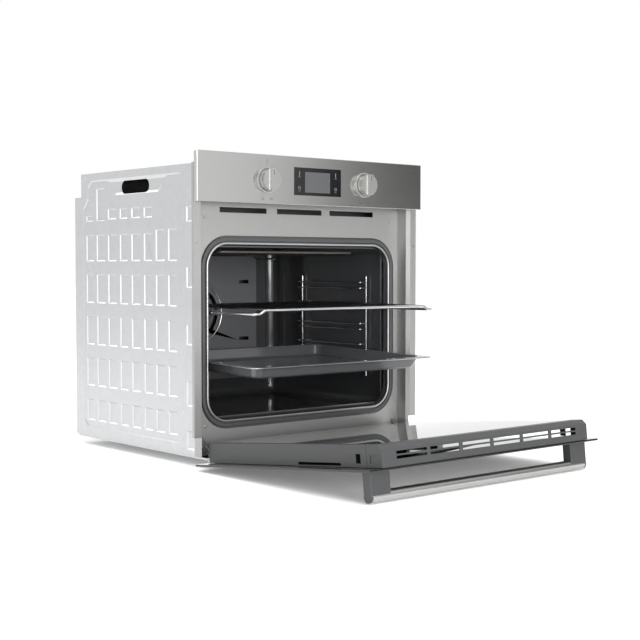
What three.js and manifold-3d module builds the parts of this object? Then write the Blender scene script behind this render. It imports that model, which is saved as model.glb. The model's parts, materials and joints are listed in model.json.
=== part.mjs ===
// A built-in electric wall oven with a drop-down door, in millimetres.
// +X is to the right seen from the front, +Y goes into the cabinet and +Z is up.
// The origin is on the underside of the base pan, in the plane of the cabinet's front edges.
// The door stands open on its stop, with the wire shelf and the baking tray pulled part way out.
import * as THREE from "three";
import { mergeVertices } from "three/addons/utils/BufferGeometryUtils.js";
import Module from "manifold-3d";

const wasm = await Module();
wasm.setup();

// ---- front ----
const FRONT_W = 595; // control fascia and door panel, across
const FRONT_H = 595; // underside of the base to the top of the fascia
const FRONT_Y = -20.8; // front face of the fascia and of the closed door
const FASCIA_H = 97;
const FASCIA_DEPTH = 11;
const FASCIA_WALL = 1.2;
const FASCIA_GAP = 3.5; // between the fascia and the closed door
const DOOR_FOOT = 1; // closed door's lower edge above the base

// ---- body ----
const BODY_W = 538; // fits a 560 mm niche
const BODY_TOP_DROP = 20.3; // top of the body below the top of the fascia
const BODY_DEPTH = 486.5;
const STEP_DROP = 50; // the back of the body steps forward this far below its top
const STEP_DEPTH = 27;
const REAR_BOX_DEPTH = 56.5;
const SHEET = 1.2;
const SIDE_FOOT = 5.5; // side panels stop this far above the base
const SEAM = 0.4; // clearance between neighbouring sheets

// ---- front frame ----
const FLANGE_Y = -7.3; // front face of the screw flanges
const FLANGE_MARGIN = 1.6; // flanges end this far inside the fascia's edge
const FLANGE_W = 16.5;
const FLANGE_FOOT = 46; // flanges stop this far above the base
const FRAME_SHEET = 1.5;
const PLATE_Y = 25; // front face of the recessed plate
const PLATE_HALF_W = 270.5;
const FRAME_FOOT = 5.2;
const SLOT_H = 10.5; // air outlet slots under the fascia
const SLOT_TOP = 7; // below the fascia's lower edge
const SLOTS = [[-212, 117], [-68, 119], [73, 124]]; // left end and length of each
const SCREW_HOLE_R = 2.4;
const SCREW_HOLE_X = 289;
const SCREW_HOLE_Z = 418;

// ---- cavity ----
const MOUTH_HALF_W = 241.5;
const MOUTH_FLOOR = 70.5;
const MOUTH_CEILING = 418.5;
const MOUTH_R = 46;
const MOUTH_FLANGE = 17; // width of the ring around the mouth
const CAVITY_HALF_W = 246;
const CAVITY_FLOOR = 66;
const CAVITY_CEILING = 424;
const CAVITY_BACK = 434;
const LINER = 1.2;
const FLANGE_PLATE = 1.5;
const GASKET_SEAT = 7; // seal's outer edge to the mouth opening's ring edge
const GASKET_W = 7.5;
const GASKET_T = 3.6;

// ---- shelf supports ----
const WIRE_R = 1.6;
const UPRIGHT_X = 242.4;
const RAIL_X = 225;
const RACK_FRONT = 95;
const RACK_BACK = 318;
const RACK_TOP_DROP = 86; // top rail below the ceiling
const RACK_FOOT_RISE = 88; // lowest rail above the floor
const RACK_LEVELS = 5;
const RAIL_PAIR = 12.3; // support wire to the guide wire above it

// ---- shelf and tray ----
const SHELF_HALF_W = 238;
const SHELF_R = 2.7;
const SHELF_CROSS_R = 1.5;
const SHELF_DEPTH = 372;
const SHELF_LEVEL = 1;
const SHELF_CROSS_WIRES = 21;
const SHELF_CRANK = 6.7; // the bars are cranked up this far inside the rails
const TRAY_HALF_W = 238;
const TRAY_DEPTH = 372;
const TRAY_H = 24;
const TRAY_FLANGE = 16.5;
const TRAY_T = 1.2;
const TRAY_CLEAR = 3.5; // side of the tray's well to the axis of the rail
const TRAY_LEVEL = 3;
const TRAY_TILT = THREE.MathUtils.degToRad(1.75); // it leans forward on its supports
const PULLED_OUT = 148; // how far both stand out of their closed place
const STOWED_FRONT = 29; // front edge of a shelf or tray that is pushed home

// ---- door ----
const DOOR_OPEN = THREE.MathUtils.degToRad(84.3); // from closed to its stop
const HINGE_X = 258;
const HINGE_Y = -11.5;
const HINGE_Z = 1.8;
const HINGE_CASE_HALF_W = 8;
const PIN_R = 2.4;
const PIN_HALF_L = 8.2;
const PANEL_T = 4;
const DOOR_BODY_HALF_W = 267.5;
const DOOR_BODY_T = 38.6; // behind the outer panel
const DOOR_BODY_FOOT = 6;
const CAP_H = 38;
const CAP_LIP = 1.5; // outer panel stands this far above the cap
const CAP_CHAMFER = 9;
const RAIL_T = 6;
const DOOR_SHEET = 1.2;
const GLASS_T = 4;
const MIDDLE_GLASS_AT = 26.3;
const MIDDLE_SHELF_AT = 24.8;
const GLASS_INSET = 0.3; // clearance between door pieces
const DOOR_RAIL_H = 22;
const CAP_SLOTS = 6;
const CAP_SLOT_PITCH = 79.5;
const CAP_SLOT_L = 71.5;
const CAP_SLOT_H = 5;

// ---- handle ----
const HANDLE_UP = 465; // bar axis above the door's lower edge
const HANDLE_OUT = 43; // bar axis in front of the door
const HANDLE_R = 10;
const HANDLE_HALF_L = 281;
const HANDLE_END_T = 4;
const POST_W = 45;

// ---- controls ----
const KNOBS = [
  { side: "left", x: -129.5 },
  { side: "right", x: 129.5 },
];
const KNOB_DROP = 50; // knob and display heights are measured down from the top of the fascia
const KNOB_R = 21.5;
const KNOB_OUT = 23.2; // front of the grip bar in front of the fascia, when popped out
const KNOB_LENGTH = 24;
const KNOB_PUSH = 11;
const GRIP_RISE = 5;
const GRIP_HALF_W = 7.5;
const COLLAR_W = 4.5; // collar's rim, measured from the knob
const COLLAR_OUT = 3;
const COLLAR_GAP = 0.6;
const SPINDLE_R = 3;
const SWITCH_HALF_W = 21;
const SPINDLE_GAP = 0.25;
const DISPLAY = { left: -61.5, right: 65, foot: FRONT_H - 77.7, top: FRONT_H - 21 };
const SCREEN = { left: -32.5, right: 35, foot: FRONT_H - 71.5, top: FRONT_H - 29.5 };
const DISPLAY_T = 3;

// ---- works ----
const FAN_Z = 267;
const IMPELLER_R = 66;
const IMPELLER_H = 14;
const IMPELLER_BLADES = 8;
const SHAFT_R = 4;
const BAFFLE_Y = 406;
const BAFFLE_HALF_W = 172;
const BAFFLE_FOOT = 112;
const BAFFLE_TOP = 398;
const ELEMENT_R = 3.3;
const BLOWER_R = 26;
const BLOWER_Z = 505;
const BLOWER_Y = 250;
const BLOWER_HALF_L = 80;

// ---- values that follow from the sizes above ----
const FRONT_HALF = FRONT_W / 2;
const FASCIA_FOOT = FRONT_H - FASCIA_H;
const FASCIA_BACK = FRONT_Y + FASCIA_DEPTH;
const KNOB_Z = FRONT_H - KNOB_DROP;
const COLLAR_R = KNOB_R + COLLAR_W;
const BODY_HALF = BODY_W / 2;
const BODY_TOP = FRONT_H - BODY_TOP_DROP;
const STEP_Z = BODY_TOP - STEP_DROP;
const FLANGE_OUT = FRONT_HALF - FLANGE_MARGIN;
const FLANGE_IN = FLANGE_OUT - FLANGE_W;
const SHEET_IN = BODY_HALF - SHEET;
const RAIL_TOP = CAVITY_CEILING - RACK_TOP_DROP;
const RAIL_PITCH = (RAIL_TOP - CAVITY_FLOOR - RACK_FOOT_RISE) / (RACK_LEVELS - 1);
const railHeight = (level) => RAIL_TOP - level * RAIL_PITCH - RAIL_PAIR;
const SHELF_FRONT = STOWED_FRONT - PULLED_OUT;
const DOOR_H = FRONT_H - FASCIA_H - FASCIA_GAP - DOOR_FOOT;
const PANEL_BACK = FRONT_Y + PANEL_T;
const DOOR_BODY_BACK = PANEL_BACK + DOOR_BODY_T;
const CAP_TOP = DOOR_FOOT + DOOR_H - CAP_LIP;
const CAP_FOOT = CAP_TOP - CAP_H;
const HANDLE_Z = DOOR_FOOT + HANDLE_UP;
const HANDLE_Y = FRONT_Y - HANDLE_OUT;

// ---- materials ----
const finish = (color, roughness, metalness) =>
  new THREE.MeshStandardMaterial({ color, roughness, metalness });
const brushed = finish(0xb4b4b2, 0.35, 0.9);
const galvanised = finish(0xc6c7c7, 0.5, 0.8);
const plateSteel = finish(0x9a9b9b, 0.45, 0.8);
const enamel = finish(0x3a3b3d, 0.25, 0.2);
const chrome = finish(0xc9cacc, 0.15, 1);
const blackGlass = finish(0x1b1c1e, 0.08, 0.1);
const clearGlass = finish(0x8f9494, 0.05, 0.1);
const blackPlastic = finish(0x2b2c2e, 0.5, 0);
const satin = finish(0xcfcfcd, 0.35, 0.8);
const silicone = finish(0x6c6d6e, 0.7, 0);
const fibre = finish(0xd8d4c4, 0.95, 0);
const board = finish(0x2f5a3c, 0.6, 0);
const elementSteel = finish(0x4c4a48, 0.5, 0.7);

// ---- solids ----
function solid(geometry) {
  const loose = geometry.index ? geometry.toNonIndexed() : geometry;
  const bare = new THREE.BufferGeometry();
  bare.setAttribute("position", loose.getAttribute("position"));
  const merged = mergeVertices(bare, 1e-4);
  return new wasm.Manifold(new wasm.Mesh({
    numProp: 3,
    vertProperties: merged.attributes.position.array,
    triVerts: new Uint32Array(merged.index.array),
  }));
}

function geometryOf(shape) {
  const { vertProperties, triVerts } = shape.getMesh();
  const geometry = new THREE.BufferGeometry();
  geometry.setAttribute("position", new THREE.BufferAttribute(vertProperties, 3));
  geometry.setIndex(new THREE.BufferAttribute(triVerts, 1));
  geometry.computeVertexNormals();
  return geometry;
}

const join = (...shapes) => shapes.flat().reduce((all, shape) => all.add(shape));
const cut = (shape, ...tools) => tools.flat().reduce((left, tool) => left.subtract(tool), shape);

function block([x0, x1], [y0, y1], [z0, z1]) {
  const geometry = new THREE.BoxGeometry(x1 - x0, y1 - y0, z1 - z0);
  return solid(geometry.translate((x0 + x1) / 2, (y0 + y1) / 2, (z0 + z1) / 2));
}

// A round bar between two points.
function bar(from, to, radius, sides = 8) {
  const a = new THREE.Vector3(...from);
  const b = new THREE.Vector3(...to);
  const geometry = new THREE.CylinderGeometry(radius, radius, a.distanceTo(b), sides);
  const turn = new THREE.Quaternion().setFromUnitVectors(
    new THREE.Vector3(0, 1, 0), b.clone().sub(a).normalize());
  geometry.applyQuaternion(turn);
  return solid(geometry.translate((a.x + b.x) / 2, (a.y + b.y) / 2, (a.z + b.z) / 2));
}

// A flat outline drawn in X and Z, from y0 to y1. Each arc gets twice curveSegments sides.
function slabY(shape, y0, y1, curveSegments = 4) {
  const geometry = new THREE.ExtrudeGeometry(shape, { depth: y1 - y0, bevelEnabled: false, curveSegments });
  return solid(geometry.rotateX(Math.PI / 2).translate(0, y1, 0));
}

// A flat outline drawn in X and Y, from z0 to z1.
function slabZ(shape, z0, z1, curveSegments = 4) {
  const geometry = new THREE.ExtrudeGeometry(shape, { depth: z1 - z0, bevelEnabled: false, curveSegments });
  return solid(geometry.translate(0, 0, z0));
}

// A flat outline drawn in Y and Z, from x0 to x1.
function slabX(shape, x0, x1, curveSegments = 4) {
  const geometry = new THREE.ExtrudeGeometry(shape, { depth: x1 - x0, bevelEnabled: false, curveSegments });
  const turn = new THREE.Matrix4().makeBasis(
    new THREE.Vector3(0, 1, 0), new THREE.Vector3(0, 0, 1), new THREE.Vector3(1, 0, 0));
  return solid(geometry.applyMatrix4(turn).translate(x0, 0, 0));
}

const outline = (...points) => new THREE.Shape(points.map(([u, v]) => new THREE.Vector2(u, v)));

function roundRect([u0, u1], [v0, v1], r) {
  const shape = new THREE.Shape();
  shape.moveTo(u0 + r, v0);
  shape.lineTo(u1 - r, v0);
  shape.absarc(u1 - r, v0 + r, r, -Math.PI / 2, 0);
  shape.lineTo(u1, v1 - r);
  shape.absarc(u1 - r, v1 - r, r, 0, Math.PI / 2);
  shape.lineTo(u0 + r, v1);
  shape.absarc(u0 + r, v1 - r, r, Math.PI / 2, Math.PI);
  shape.lineTo(u0, v0 + r);
  shape.absarc(u0 + r, v0 + r, r, Math.PI, Math.PI * 1.5);
  return shape;
}

// A line through given corners, each rounded off, as a curve with one point for each station.
class BentLine extends THREE.Curve {
  constructor(corners, bend, steps, closed = false) {
    super();
    const p = corners.map((c) => new THREE.Vector3(...c));
    this.stations = [];
    p.forEach((corner, i) => {
      if (i === 0 || i === p.length - 1) {
        this.stations.push(corner);
        return;
      }
      const back = p[i - 1].clone().sub(corner).normalize();
      const on = p[i + 1].clone().sub(corner).normalize();
      const half = back.angleTo(on) / 2;
      const reach = Math.min(bend / Math.tan(half), 0.48 * corner.distanceTo(p[i - 1]),
        0.48 * corner.distanceTo(p[i + 1]));
      const start = corner.clone().addScaledVector(back, reach);
      const end = corner.clone().addScaledVector(on, reach);
      const arc = new THREE.QuadraticBezierCurve3(start, corner, end);
      this.stations.push(...arc.getPoints(steps));
    });
  }
  getPoint(t) {
    return this.stations[Math.round(t * (this.stations.length - 1))].clone();
  }
  getPointAt(t) {
    return this.getPoint(t);
  }
  getTangentAt(t) {
    const last = this.stations.length - 1;
    const i = Math.round(t * last);
    const after = this.stations[Math.min(i + 1, last)];
    return after.clone().sub(this.stations[Math.max(i - 1, 0)]).normalize();
  }
}

function wire(corners, radius, { bend = 8, steps = 3, sides = 6 } = {}) {
  const path = new BentLine(corners, bend, steps);
  const section = new THREE.Shape();
  section.absarc(0, 0, radius, 0, Math.PI * 2);
  return solid(new THREE.ExtrudeGeometry(section, {
    steps: path.stations.length - 1,
    extrudePath: path,
    curveSegments: sides / 2,
    bevelEnabled: false,
  }));
}

const oven = new THREE.Group();
const door = new THREE.Group(); // modelled shut, about its hinge line, and turned to its stop
door.position.set(0, HINGE_Y, HINGE_Z);
door.rotation.x = DOOR_OPEN;
oven.add(door);

function place(name, shape, material, group = oven) {
  const mesh = new THREE.Mesh(geometryOf(shape), material);
  mesh.name = name;
  if (group === door) mesh.position.set(0, -HINGE_Y, -HINGE_Z);
  group.add(mesh);
}

// ---- cabinet ----

// Outline of a side panel in Y and Z, drawn in from its edge.
function sideOutline(inset) {
  const front = PLATE_Y + FRAME_SHEET + SEAM + inset;
  const back = BODY_DEPTH - inset;
  const stepBack = BODY_DEPTH - STEP_DEPTH - inset;
  return outline([front, SIDE_FOOT + inset], [back, SIDE_FOOT + inset], [back, STEP_Z - inset],
    [stepBack, STEP_Z - inset], [stepBack, BODY_TOP - inset], [front, BODY_TOP - inset]);
}

// A pressed side: a tray-shaped sheet with a hand slot near the top and rows of pressed-in ribs.
const EDGE_FOLD = 14;
const RIB_DEPTH = 1.3;
const RIB_COLUMNS = 8;
const RIB_W = 31;
const RIB_PITCH = 45.5;
const RIB_BACK = 442;
const RIB_ROWS = [[39, 267], [296, 442]];
const HAND_SLOT = { front: 194, back: 299, foot: 526, top: 553 };

function sidePanel() {
  const face = SHEET_IN;
  const shell = cut(
    slabX(sideOutline(0), face - EDGE_FOLD, BODY_HALF),
    slabX(sideOutline(SHEET), face - EDGE_FOLD - 1, face),
    block([face - EDGE_FOLD - 1, face], [PLATE_Y, PLATE_Y + 10], [SIDE_FOOT - 1, BODY_TOP + 1]));
  const backs = [];
  const hollows = [];
  for (let column = 0; column < RIB_COLUMNS; column += 1) {
    const back = RIB_BACK - column * RIB_PITCH;
    for (const [foot, top] of RIB_ROWS) {
      backs.push(block([face - RIB_DEPTH, face + SHEET / 2], [back - RIB_W - SHEET, back + SHEET],
        [foot - SHEET, top + SHEET]));
      hollows.push(block([BODY_HALF - RIB_DEPTH, BODY_HALF + 1], [back - RIB_W, back], [foot, top]));
    }
  }
  const radius = (HAND_SLOT.top - HAND_SLOT.foot) / 2 - 0.01;
  const slot = slabX(roundRect([HAND_SLOT.front, HAND_SLOT.back], [HAND_SLOT.foot, HAND_SLOT.top], radius),
    face - 2, face + 10, 3);
  return cut(join(shell, backs), hollows, slot);
}

const mirrored = (shape) => shape.mirror([1, 0, 0]);

function topCover() {
  const depth = BODY_DEPTH - STEP_DEPTH - SHEET - SEAM;
  const half = SHEET_IN - EDGE_FOLD - SEAM;
  const front = PLATE_Y + FRAME_SHEET + SEAM;
  const sheet = block([-half, half], [front, depth], [BODY_TOP - SHEET, BODY_TOP]);
  const lip = block([-half, half], [depth - SHEET, depth], [BODY_TOP - 12, BODY_TOP]);
  const louvres = [];
  for (let i = -3; i <= 3; i += 1) {
    louvres.push(block([i * 50 - 18, i * 50 + 18], [380, 386], [BODY_TOP - 3, BODY_TOP + 1]));
  }
  return cut(join(sheet, lip), louvres);
}

// The back of the body, one sheet stepped forward near the top.
function rearWall() {
  const half = SHEET_IN - EDGE_FOLD - SEAM;
  const back = BODY_DEPTH;
  const step = BODY_DEPTH - STEP_DEPTH;
  const top = BODY_TOP - SHEET - SEAM;
  const sheet = slabX(outline([back - SHEET, SIDE_FOOT + 2], [back, SIDE_FOOT + 2], [back, STEP_Z], [step, STEP_Z],
    [step, top], [step - SHEET, top], [step - SHEET, STEP_Z - SHEET], [back - SHEET, STEP_Z - SHEET]), -half, half);
  const motorHole = bar([0, back - 20, FAN_Z], [0, back + 20, FAN_Z], MOTOR_R + 6, 24);
  return cut(sheet, motorHole);
}

const REAR_BOX = { half: 215, foot: 70, top: 480 };
function backCover() {
  const front = BODY_DEPTH + SEAM;
  const back = BODY_DEPTH + REAR_BOX_DEPTH;
  const { half, foot, top } = REAR_BOX;
  const shell = cut(block([-half, half], [front, back], [foot, top]),
    block([-half + SHEET, half - SHEET], [front - 1, back - SHEET], [foot + SHEET, top - SHEET]));
  const vents = [];
  for (let i = 0; i < 6; i += 1) {
    vents.push(block([-150, -30], [back - 5, back + 5], [380 + i * 14, 385 + i * 14]));
  }
  const wiring = block([95, 175], [back - 5, back + 5], [400, 452]);
  return cut(shell, vents, wiring);
}

function terminalBlock() {
  const back = BODY_DEPTH + REAR_BOX_DEPTH - SHEET - SEAM;
  const body = block([96, 174], [back - 22, back], [401, 451]);
  const screws = [];
  for (let i = 0; i < 5; i += 1) {
    const x = 107 + i * 14;
    screws.push(bar([x, back - 6, 438], [x, back + 1, 438], 3.6, 8));
  }
  return cut(body, screws);
}

const BASE_FRONT = -5.5;
function basePan() {
  const half = SHEET_IN - RIB_DEPTH - 1;
  const tray = cut(block([-half, half], [BASE_FRONT, BODY_DEPTH - 3], [0, 4.8]),
    block([-half + SHEET, half - SHEET], [BASE_FRONT + SHEET, BODY_DEPTH - 3 - SHEET], [SHEET, 6]));
  const stiffeners = [-180, 0, 180].map((x) =>
    block([x - 24, x + 24], [60, BODY_DEPTH - 60], [SHEET / 2, 4.5]));
  const hollows = [-180, 0, 180].map((x) =>
    block([x - 22, x + 22], [62, BODY_DEPTH - 62], [-1, 3.2]));
  return cut(join(tray, stiffeners), hollows);
}

// ---- front frame ----

const ringInner = [[-MOUTH_HALF_W - MOUTH_FLANGE, MOUTH_HALF_W + MOUTH_FLANGE],
  [MOUTH_FLOOR - MOUTH_FLANGE, MOUTH_CEILING + MOUTH_FLANGE], MOUTH_R + MOUTH_FLANGE];

function frontFrame() {
  const t = FRAME_SHEET;
  const wallIn = PLATE_HALF_W + 3;
  const half = outline(
    [PLATE_HALF_W - 40, PLATE_Y], [PLATE_HALF_W, PLATE_Y], [wallIn, 0.6], [FLANGE_IN, FLANGE_Y],
    [FLANGE_OUT, FLANGE_Y], [FLANGE_OUT, 0], [FLANGE_OUT - t, 0], [FLANGE_OUT - t, FLANGE_Y + t],
    [FLANGE_IN + t * 0.4, FLANGE_Y + t], [wallIn + t, 0.6 + t * 0.5], [PLATE_HALF_W + t, PLATE_Y + t],
    [PLATE_HALF_W - 40, PLATE_Y + t]);
  const column = slabZ(half, FRAME_FOOT, BODY_TOP - 2);
  const plate = block([-PLATE_HALF_W + 1, PLATE_HALF_W - 1], [PLATE_Y, PLATE_Y + t], [FRAME_FOOT, BODY_TOP - 2]);
  const foot = [-1, 1].map((s) =>
    block(s > 0 ? [FLANGE_IN - 2, FLANGE_OUT + 1] : [-FLANGE_OUT - 1, -FLANGE_IN + 2],
      [FLANGE_Y - 1, 1], [0, FLANGE_FOOT]));
  const mouth = slabY(roundRect(...ringInner), PLATE_Y - 5, PLATE_Y + 5);
  const slotTop = FASCIA_FOOT - SLOT_TOP;
  const slots = SLOTS.map(([x, length]) =>
    block([x, x + length], [PLATE_Y - 5, PLATE_Y + 5], [slotTop - SLOT_H, slotTop]));
  const switchHoles = KNOBS.map(({ x }) =>
    block([x - 23, x + 23], [PLATE_Y - 5, PLATE_Y + 5], [KNOB_Z - 23, KNOB_Z + 23]));
  const cableHole = block([-30, 30], [PLATE_Y - 5, PLATE_Y + 5], [520, 548]);
  const holes = [-1, 1].map((s) =>
    bar([s * SCREW_HOLE_X, FLANGE_Y - 5, SCREW_HOLE_Z], [s * SCREW_HOLE_X, FLANGE_Y + 5, SCREW_HOLE_Z],
      SCREW_HOLE_R, 10));
  const hookSlots = [-1, 1].map((s) =>
    block([s * HINGE_X - 4, s * HINGE_X + 4], [PLATE_Y - 5, PLATE_Y + 5], [21, 41]));
  return cut(join(plate, column, mirrored(column)), foot, mouth, slots, switchHoles, cableHole, holes, hookSlots);
}

// The sockets behind the plate that the door's hinge arms hook into.
function hingeReceiver(side) {
  const y0 = PLATE_Y + FRAME_SHEET + SEAM;
  const x = side * HINGE_X;
  return cut(block([x - 5, x + 5], [y0, y0 + 32], [17, 45]),
    block([x - 2.3, x + 2.3], [y0 - 1, y0 + 28], [23.7, 38.3]));
}

// A flat steel arm from its socket down to the pin that the door turns on.
function hingeArm(side) {
  const x = side * HINGE_X;
  const plate = slabX(outline([PLATE_Y + 26, 24], [PLATE_Y + 26, 38], [PLATE_Y - 6, 38],
    [HINGE_Y + 9.5, HINGE_Z + 18], [HINGE_Y - 1.5, HINGE_Z + 7.2], [HINGE_Y - 3, HINGE_Z + 3.2],
    [HINGE_Y - 3, HINGE_Z - 2.8], [HINGE_Y + 3, HINGE_Z - 3.3], [HINGE_Y + 4.7, HINGE_Z + 3.8],
    [PLATE_Y - 6, 24]), x - 2, x + 2);
  const pin = bar([x - PIN_HALF_L, HINGE_Y, HINGE_Z], [x + PIN_HALF_L, HINGE_Y, HINGE_Z], PIN_R, 12);
  return join(plate, pin);
}

// ---- cavity ----

function cavityLiner() {
  const flangeY = PLATE_Y + FRAME_SHEET + SEAM;
  const x = CAVITY_HALF_W;
  const z = [CAVITY_FLOOR, CAVITY_CEILING];
  const collarY = PLATE_Y + 12;
  const outer = slabY(roundRect([-x - LINER, x + LINER], [z[0] - LINER, z[1] + LINER], 18), collarY,
    CAVITY_BACK + LINER, 2);
  const inner = slabY(roundRect([-x, x], z, 17), collarY + LINER, CAVITY_BACK, 2);
  const flange = slabY(roundRect([-MOUTH_HALF_W - MOUTH_FLANGE - 6, MOUTH_HALF_W + MOUTH_FLANGE + 6],
    [MOUTH_FLOOR - MOUTH_FLANGE - 6, MOUTH_CEILING + MOUTH_FLANGE + 6], MOUTH_R + MOUTH_FLANGE),
  flangeY, flangeY + FLANGE_PLATE);
  const throat = slabY(roundRect([-MOUTH_HALF_W - LINER, MOUTH_HALF_W + LINER],
    [MOUTH_FLOOR - LINER, MOUTH_CEILING + LINER], MOUTH_R + LINER), flangeY, collarY + LINER);
  const opening = slabY(roundRect([-MOUTH_HALF_W, MOUTH_HALF_W], [MOUTH_FLOOR, MOUTH_CEILING], MOUTH_R),
    flangeY - 1, collarY + 2 * LINER);
  const back = [CAVITY_BACK - 3, CAVITY_BACK + 5];
  const shaftHole = bar([0, back[0], FAN_Z], [0, back[1], FAN_Z], SHAFT_R + 3, 16);
  const legHoles = [...RING_LEGS, ...GRILL_LEGS].map(([lx, lz]) =>
    bar([lx, back[0], lz], [lx, back[1], lz], ELEMENT_R + 0.5, 10));
  const lampHole = bar([LAMP_X, back[0], LAMP_Z], [LAMP_X, back[1], LAMP_Z], 24, 20);
  const probeHole = bar([PROBE_X, back[0], PROBE_Z], [PROBE_X, back[1], PROBE_Z], 3.2, 10);
  return cut(join(cut(outer, inner), flange, throat), opening, shaftHole, legHoles, lampHole, probeHole);
}

function mouthGasket() {
  const edge = MOUTH_FLANGE - GASKET_SEAT;
  const ring = (grow) => roundRect([-MOUTH_HALF_W - grow, MOUTH_HALF_W + grow],
    [MOUTH_FLOOR - grow, MOUTH_CEILING + grow], MOUTH_R + grow);
  const back = PLATE_Y + FRAME_SHEET + SEAM - 0.3;
  return cut(slabY(ring(edge + GASKET_W / 2), back - GASKET_T, back),
    slabY(ring(edge - GASKET_W / 2), back - GASKET_T - 1, back + 1));
}

function shelfRack(side) {
  const x = side * UPRIGHT_X;
  const rail = side * RAIL_X;
  const top = RAIL_TOP + 14;
  const foot = railHeight(RACK_LEVELS - 1) - 12;
  const pieces = [];
  for (const y of [RACK_FRONT, RACK_BACK]) {
    pieces.push(bar([x, y, foot], [x, y, top], WIRE_R));
  }
  for (let level = 0; level < RACK_LEVELS; level += 1) {
    for (const z of [railHeight(level), railHeight(level) + RAIL_PAIR]) {
      pieces.push(wire([[x, RACK_FRONT, z], [rail, RACK_FRONT + 4, z], [rail, RACK_BACK - 4, z],
        [x, RACK_BACK, z]], WIRE_R, { bend: 5, steps: 2, sides: 6 }));
    }
  }
  const hooks = [[RACK_FRONT, top - 4], [RACK_BACK, top - 4]].map(([y, z]) =>
    bar([x, y, z], [side * (CAVITY_HALF_W - 0.5), y, z], WIRE_R));
  return join(pieces, hooks);
}

// ---- fan, elements and lamp ----

const MOTOR_R = 34;
const RING_R = 92;
const RING_LEGS = [[-14, FAN_Z + RING_R - 3], [14, FAN_Z + RING_R - 3]];
const GRILL_LEGS = [[-30, 404], [30, 404]];
const LAMP_X = -196;
const LAMP_Z = 372;
const PROBE_X = 194;
const PROBE_Z = 392;

function fanBaffle() {
  const t = 1.2;
  const sheet = slabY(roundRect([-BAFFLE_HALF_W, BAFFLE_HALF_W], [BAFFLE_FOOT, BAFFLE_TOP], 14), BAFFLE_Y,
    BAFFLE_Y + t, 2);
  const folds = [-1, 1].map((s) => block(
    s > 0 ? [BAFFLE_HALF_W - t, BAFFLE_HALF_W] : [-BAFFLE_HALF_W, -BAFFLE_HALF_W + t],
    [BAFFLE_Y, CAVITY_BACK - 0.5], [BAFFLE_FOOT + 16, BAFFLE_TOP - 16]));
  const openings = [];
  const rings = 3;
  const sectors = 6;
  for (let ring = 0; ring < rings; ring += 1) {
    const inner = 16 + ring * 16;
    const outer = inner + 11;
    for (let k = 0; k < sectors; k += 1) {
      const start = (k / sectors) * Math.PI * 2 + 0.12;
      const end = ((k + 1) / sectors) * Math.PI * 2 - 0.12;
      const shape = new THREE.Shape();
      shape.absarc(0, FAN_Z, outer, start, end);
      shape.absarc(0, FAN_Z, inner, end, start, true);
      openings.push(slabY(shape, BAFFLE_Y - 3, BAFFLE_Y + 4, ring ? 2 : 1));
    }
  }
  const outlets = [-1, 1].flatMap((s) => [140, 200, 334].map((z) =>
    block([s * 135 - 14, s * 135 + 14], [BAFFLE_Y - 3, BAFFLE_Y + 4], [z, z + 8])));
  return cut(join(sheet, folds), openings, outlets);
}

function convectionFan() {
  const back = CAVITY_BACK - 5;
  const front = back - IMPELLER_H;
  const disc = bar([0, back - 1.2, FAN_Z], [0, back, FAN_Z], IMPELLER_R, 24);
  const hub = bar([0, front - 3, FAN_Z], [0, back, FAN_Z], 9, 12);
  const shaft = bar([0, front, FAN_Z], [0, CAVITY_BACK + 42, FAN_Z], SHAFT_R, 12);
  const blades = [];
  for (let k = 0; k < IMPELLER_BLADES; k += 1) {
    const blade = block([26, IMPELLER_R - 1], [front, back - 0.6], [-0.8, 0.8]);
    const turn = (k / IMPELLER_BLADES) * 360;
    blades.push(blade.rotate([0, turn, 0]).translate([0, 0, FAN_Z]));
  }
  return join(disc, hub, shaft, blades);
}

function fanMotor() {
  const front = CAVITY_BACK + 12;
  const can = bar([0, front, FAN_Z], [0, front + 62, FAN_Z], MOTOR_R, 24);
  const arms = [[-78, 0], [78, 0], [0, -78]].map(([dx, dz]) => join(
    block([Math.min(0, dx) - 8, Math.max(0, dx) + 8], [front, front + 2],
      [FAN_Z + Math.min(0, dz) - 8, FAN_Z + Math.max(0, dz) + 8]),
    block([dx - 8, dx + 8], [CAVITY_BACK + LINER + 0.3, front + 2], [FAN_Z + dz - 8, FAN_Z + dz + 8])));
  const bore = bar([0, front - 1, FAN_Z], [0, front + 50, FAN_Z], SHAFT_R + 0.3, 12);
  return cut(join(can, arms), bore);
}

function ringElement() {
  const y = CAVITY_BACK - 14;
  const loop = [];
  const gap = 0.16;
  const stations = 18;
  for (let i = 0; i <= stations; i += 1) {
    const angle = Math.PI / 2 + gap + (i / stations) * (Math.PI * 2 - 2 * gap);
    loop.push([RING_R * Math.cos(angle), y, FAN_Z + RING_R * Math.sin(angle)]);
  }
  const [left, right] = RING_LEGS;
  const end = CAVITY_BACK + 26;
  return wire([[left[0], end, left[1]], [left[0], y, left[1]], ...loop.slice(1, -1), [right[0], y, right[1]],
    [right[0], end, right[1]]], ELEMENT_R, { bend: 5, steps: 1 });
}

function grillElement() {
  const z = GRILL_LEGS[0][1];
  const x = 178;
  const y = [70, 372];
  const end = CAVITY_BACK + 26;
  const [left, right] = GRILL_LEGS;
  return wire([[left[0], end, z], [left[0], y[1] - 40, z], [-60, y[0] + 60, z], [-100, y[0] + 60, z],
    [-110, y[1], z], [-x, y[1], z], [-x, y[0], z], [x, y[0], z], [x, y[1], z], [110, y[1], z],
    [100, y[0] + 60, z], [60, y[0] + 60, z], [right[0], y[1] - 40, z], [right[0], end, z]],
  ELEMENT_R, { bend: 14, steps: 2 });
}

function bottomElement() {
  const z = CAVITY_FLOOR - LINER - ELEMENT_R - 0.6;
  const end = CAVITY_BACK + 22;
  return wire([[-40, end, z], [-40, 360, z], [-170, 360, z], [-170, 90, z], [170, 90, z], [170, 360, z],
    [40, 360, z], [40, end, z]], ELEMENT_R, { bend: 26, steps: 2 });
}

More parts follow.
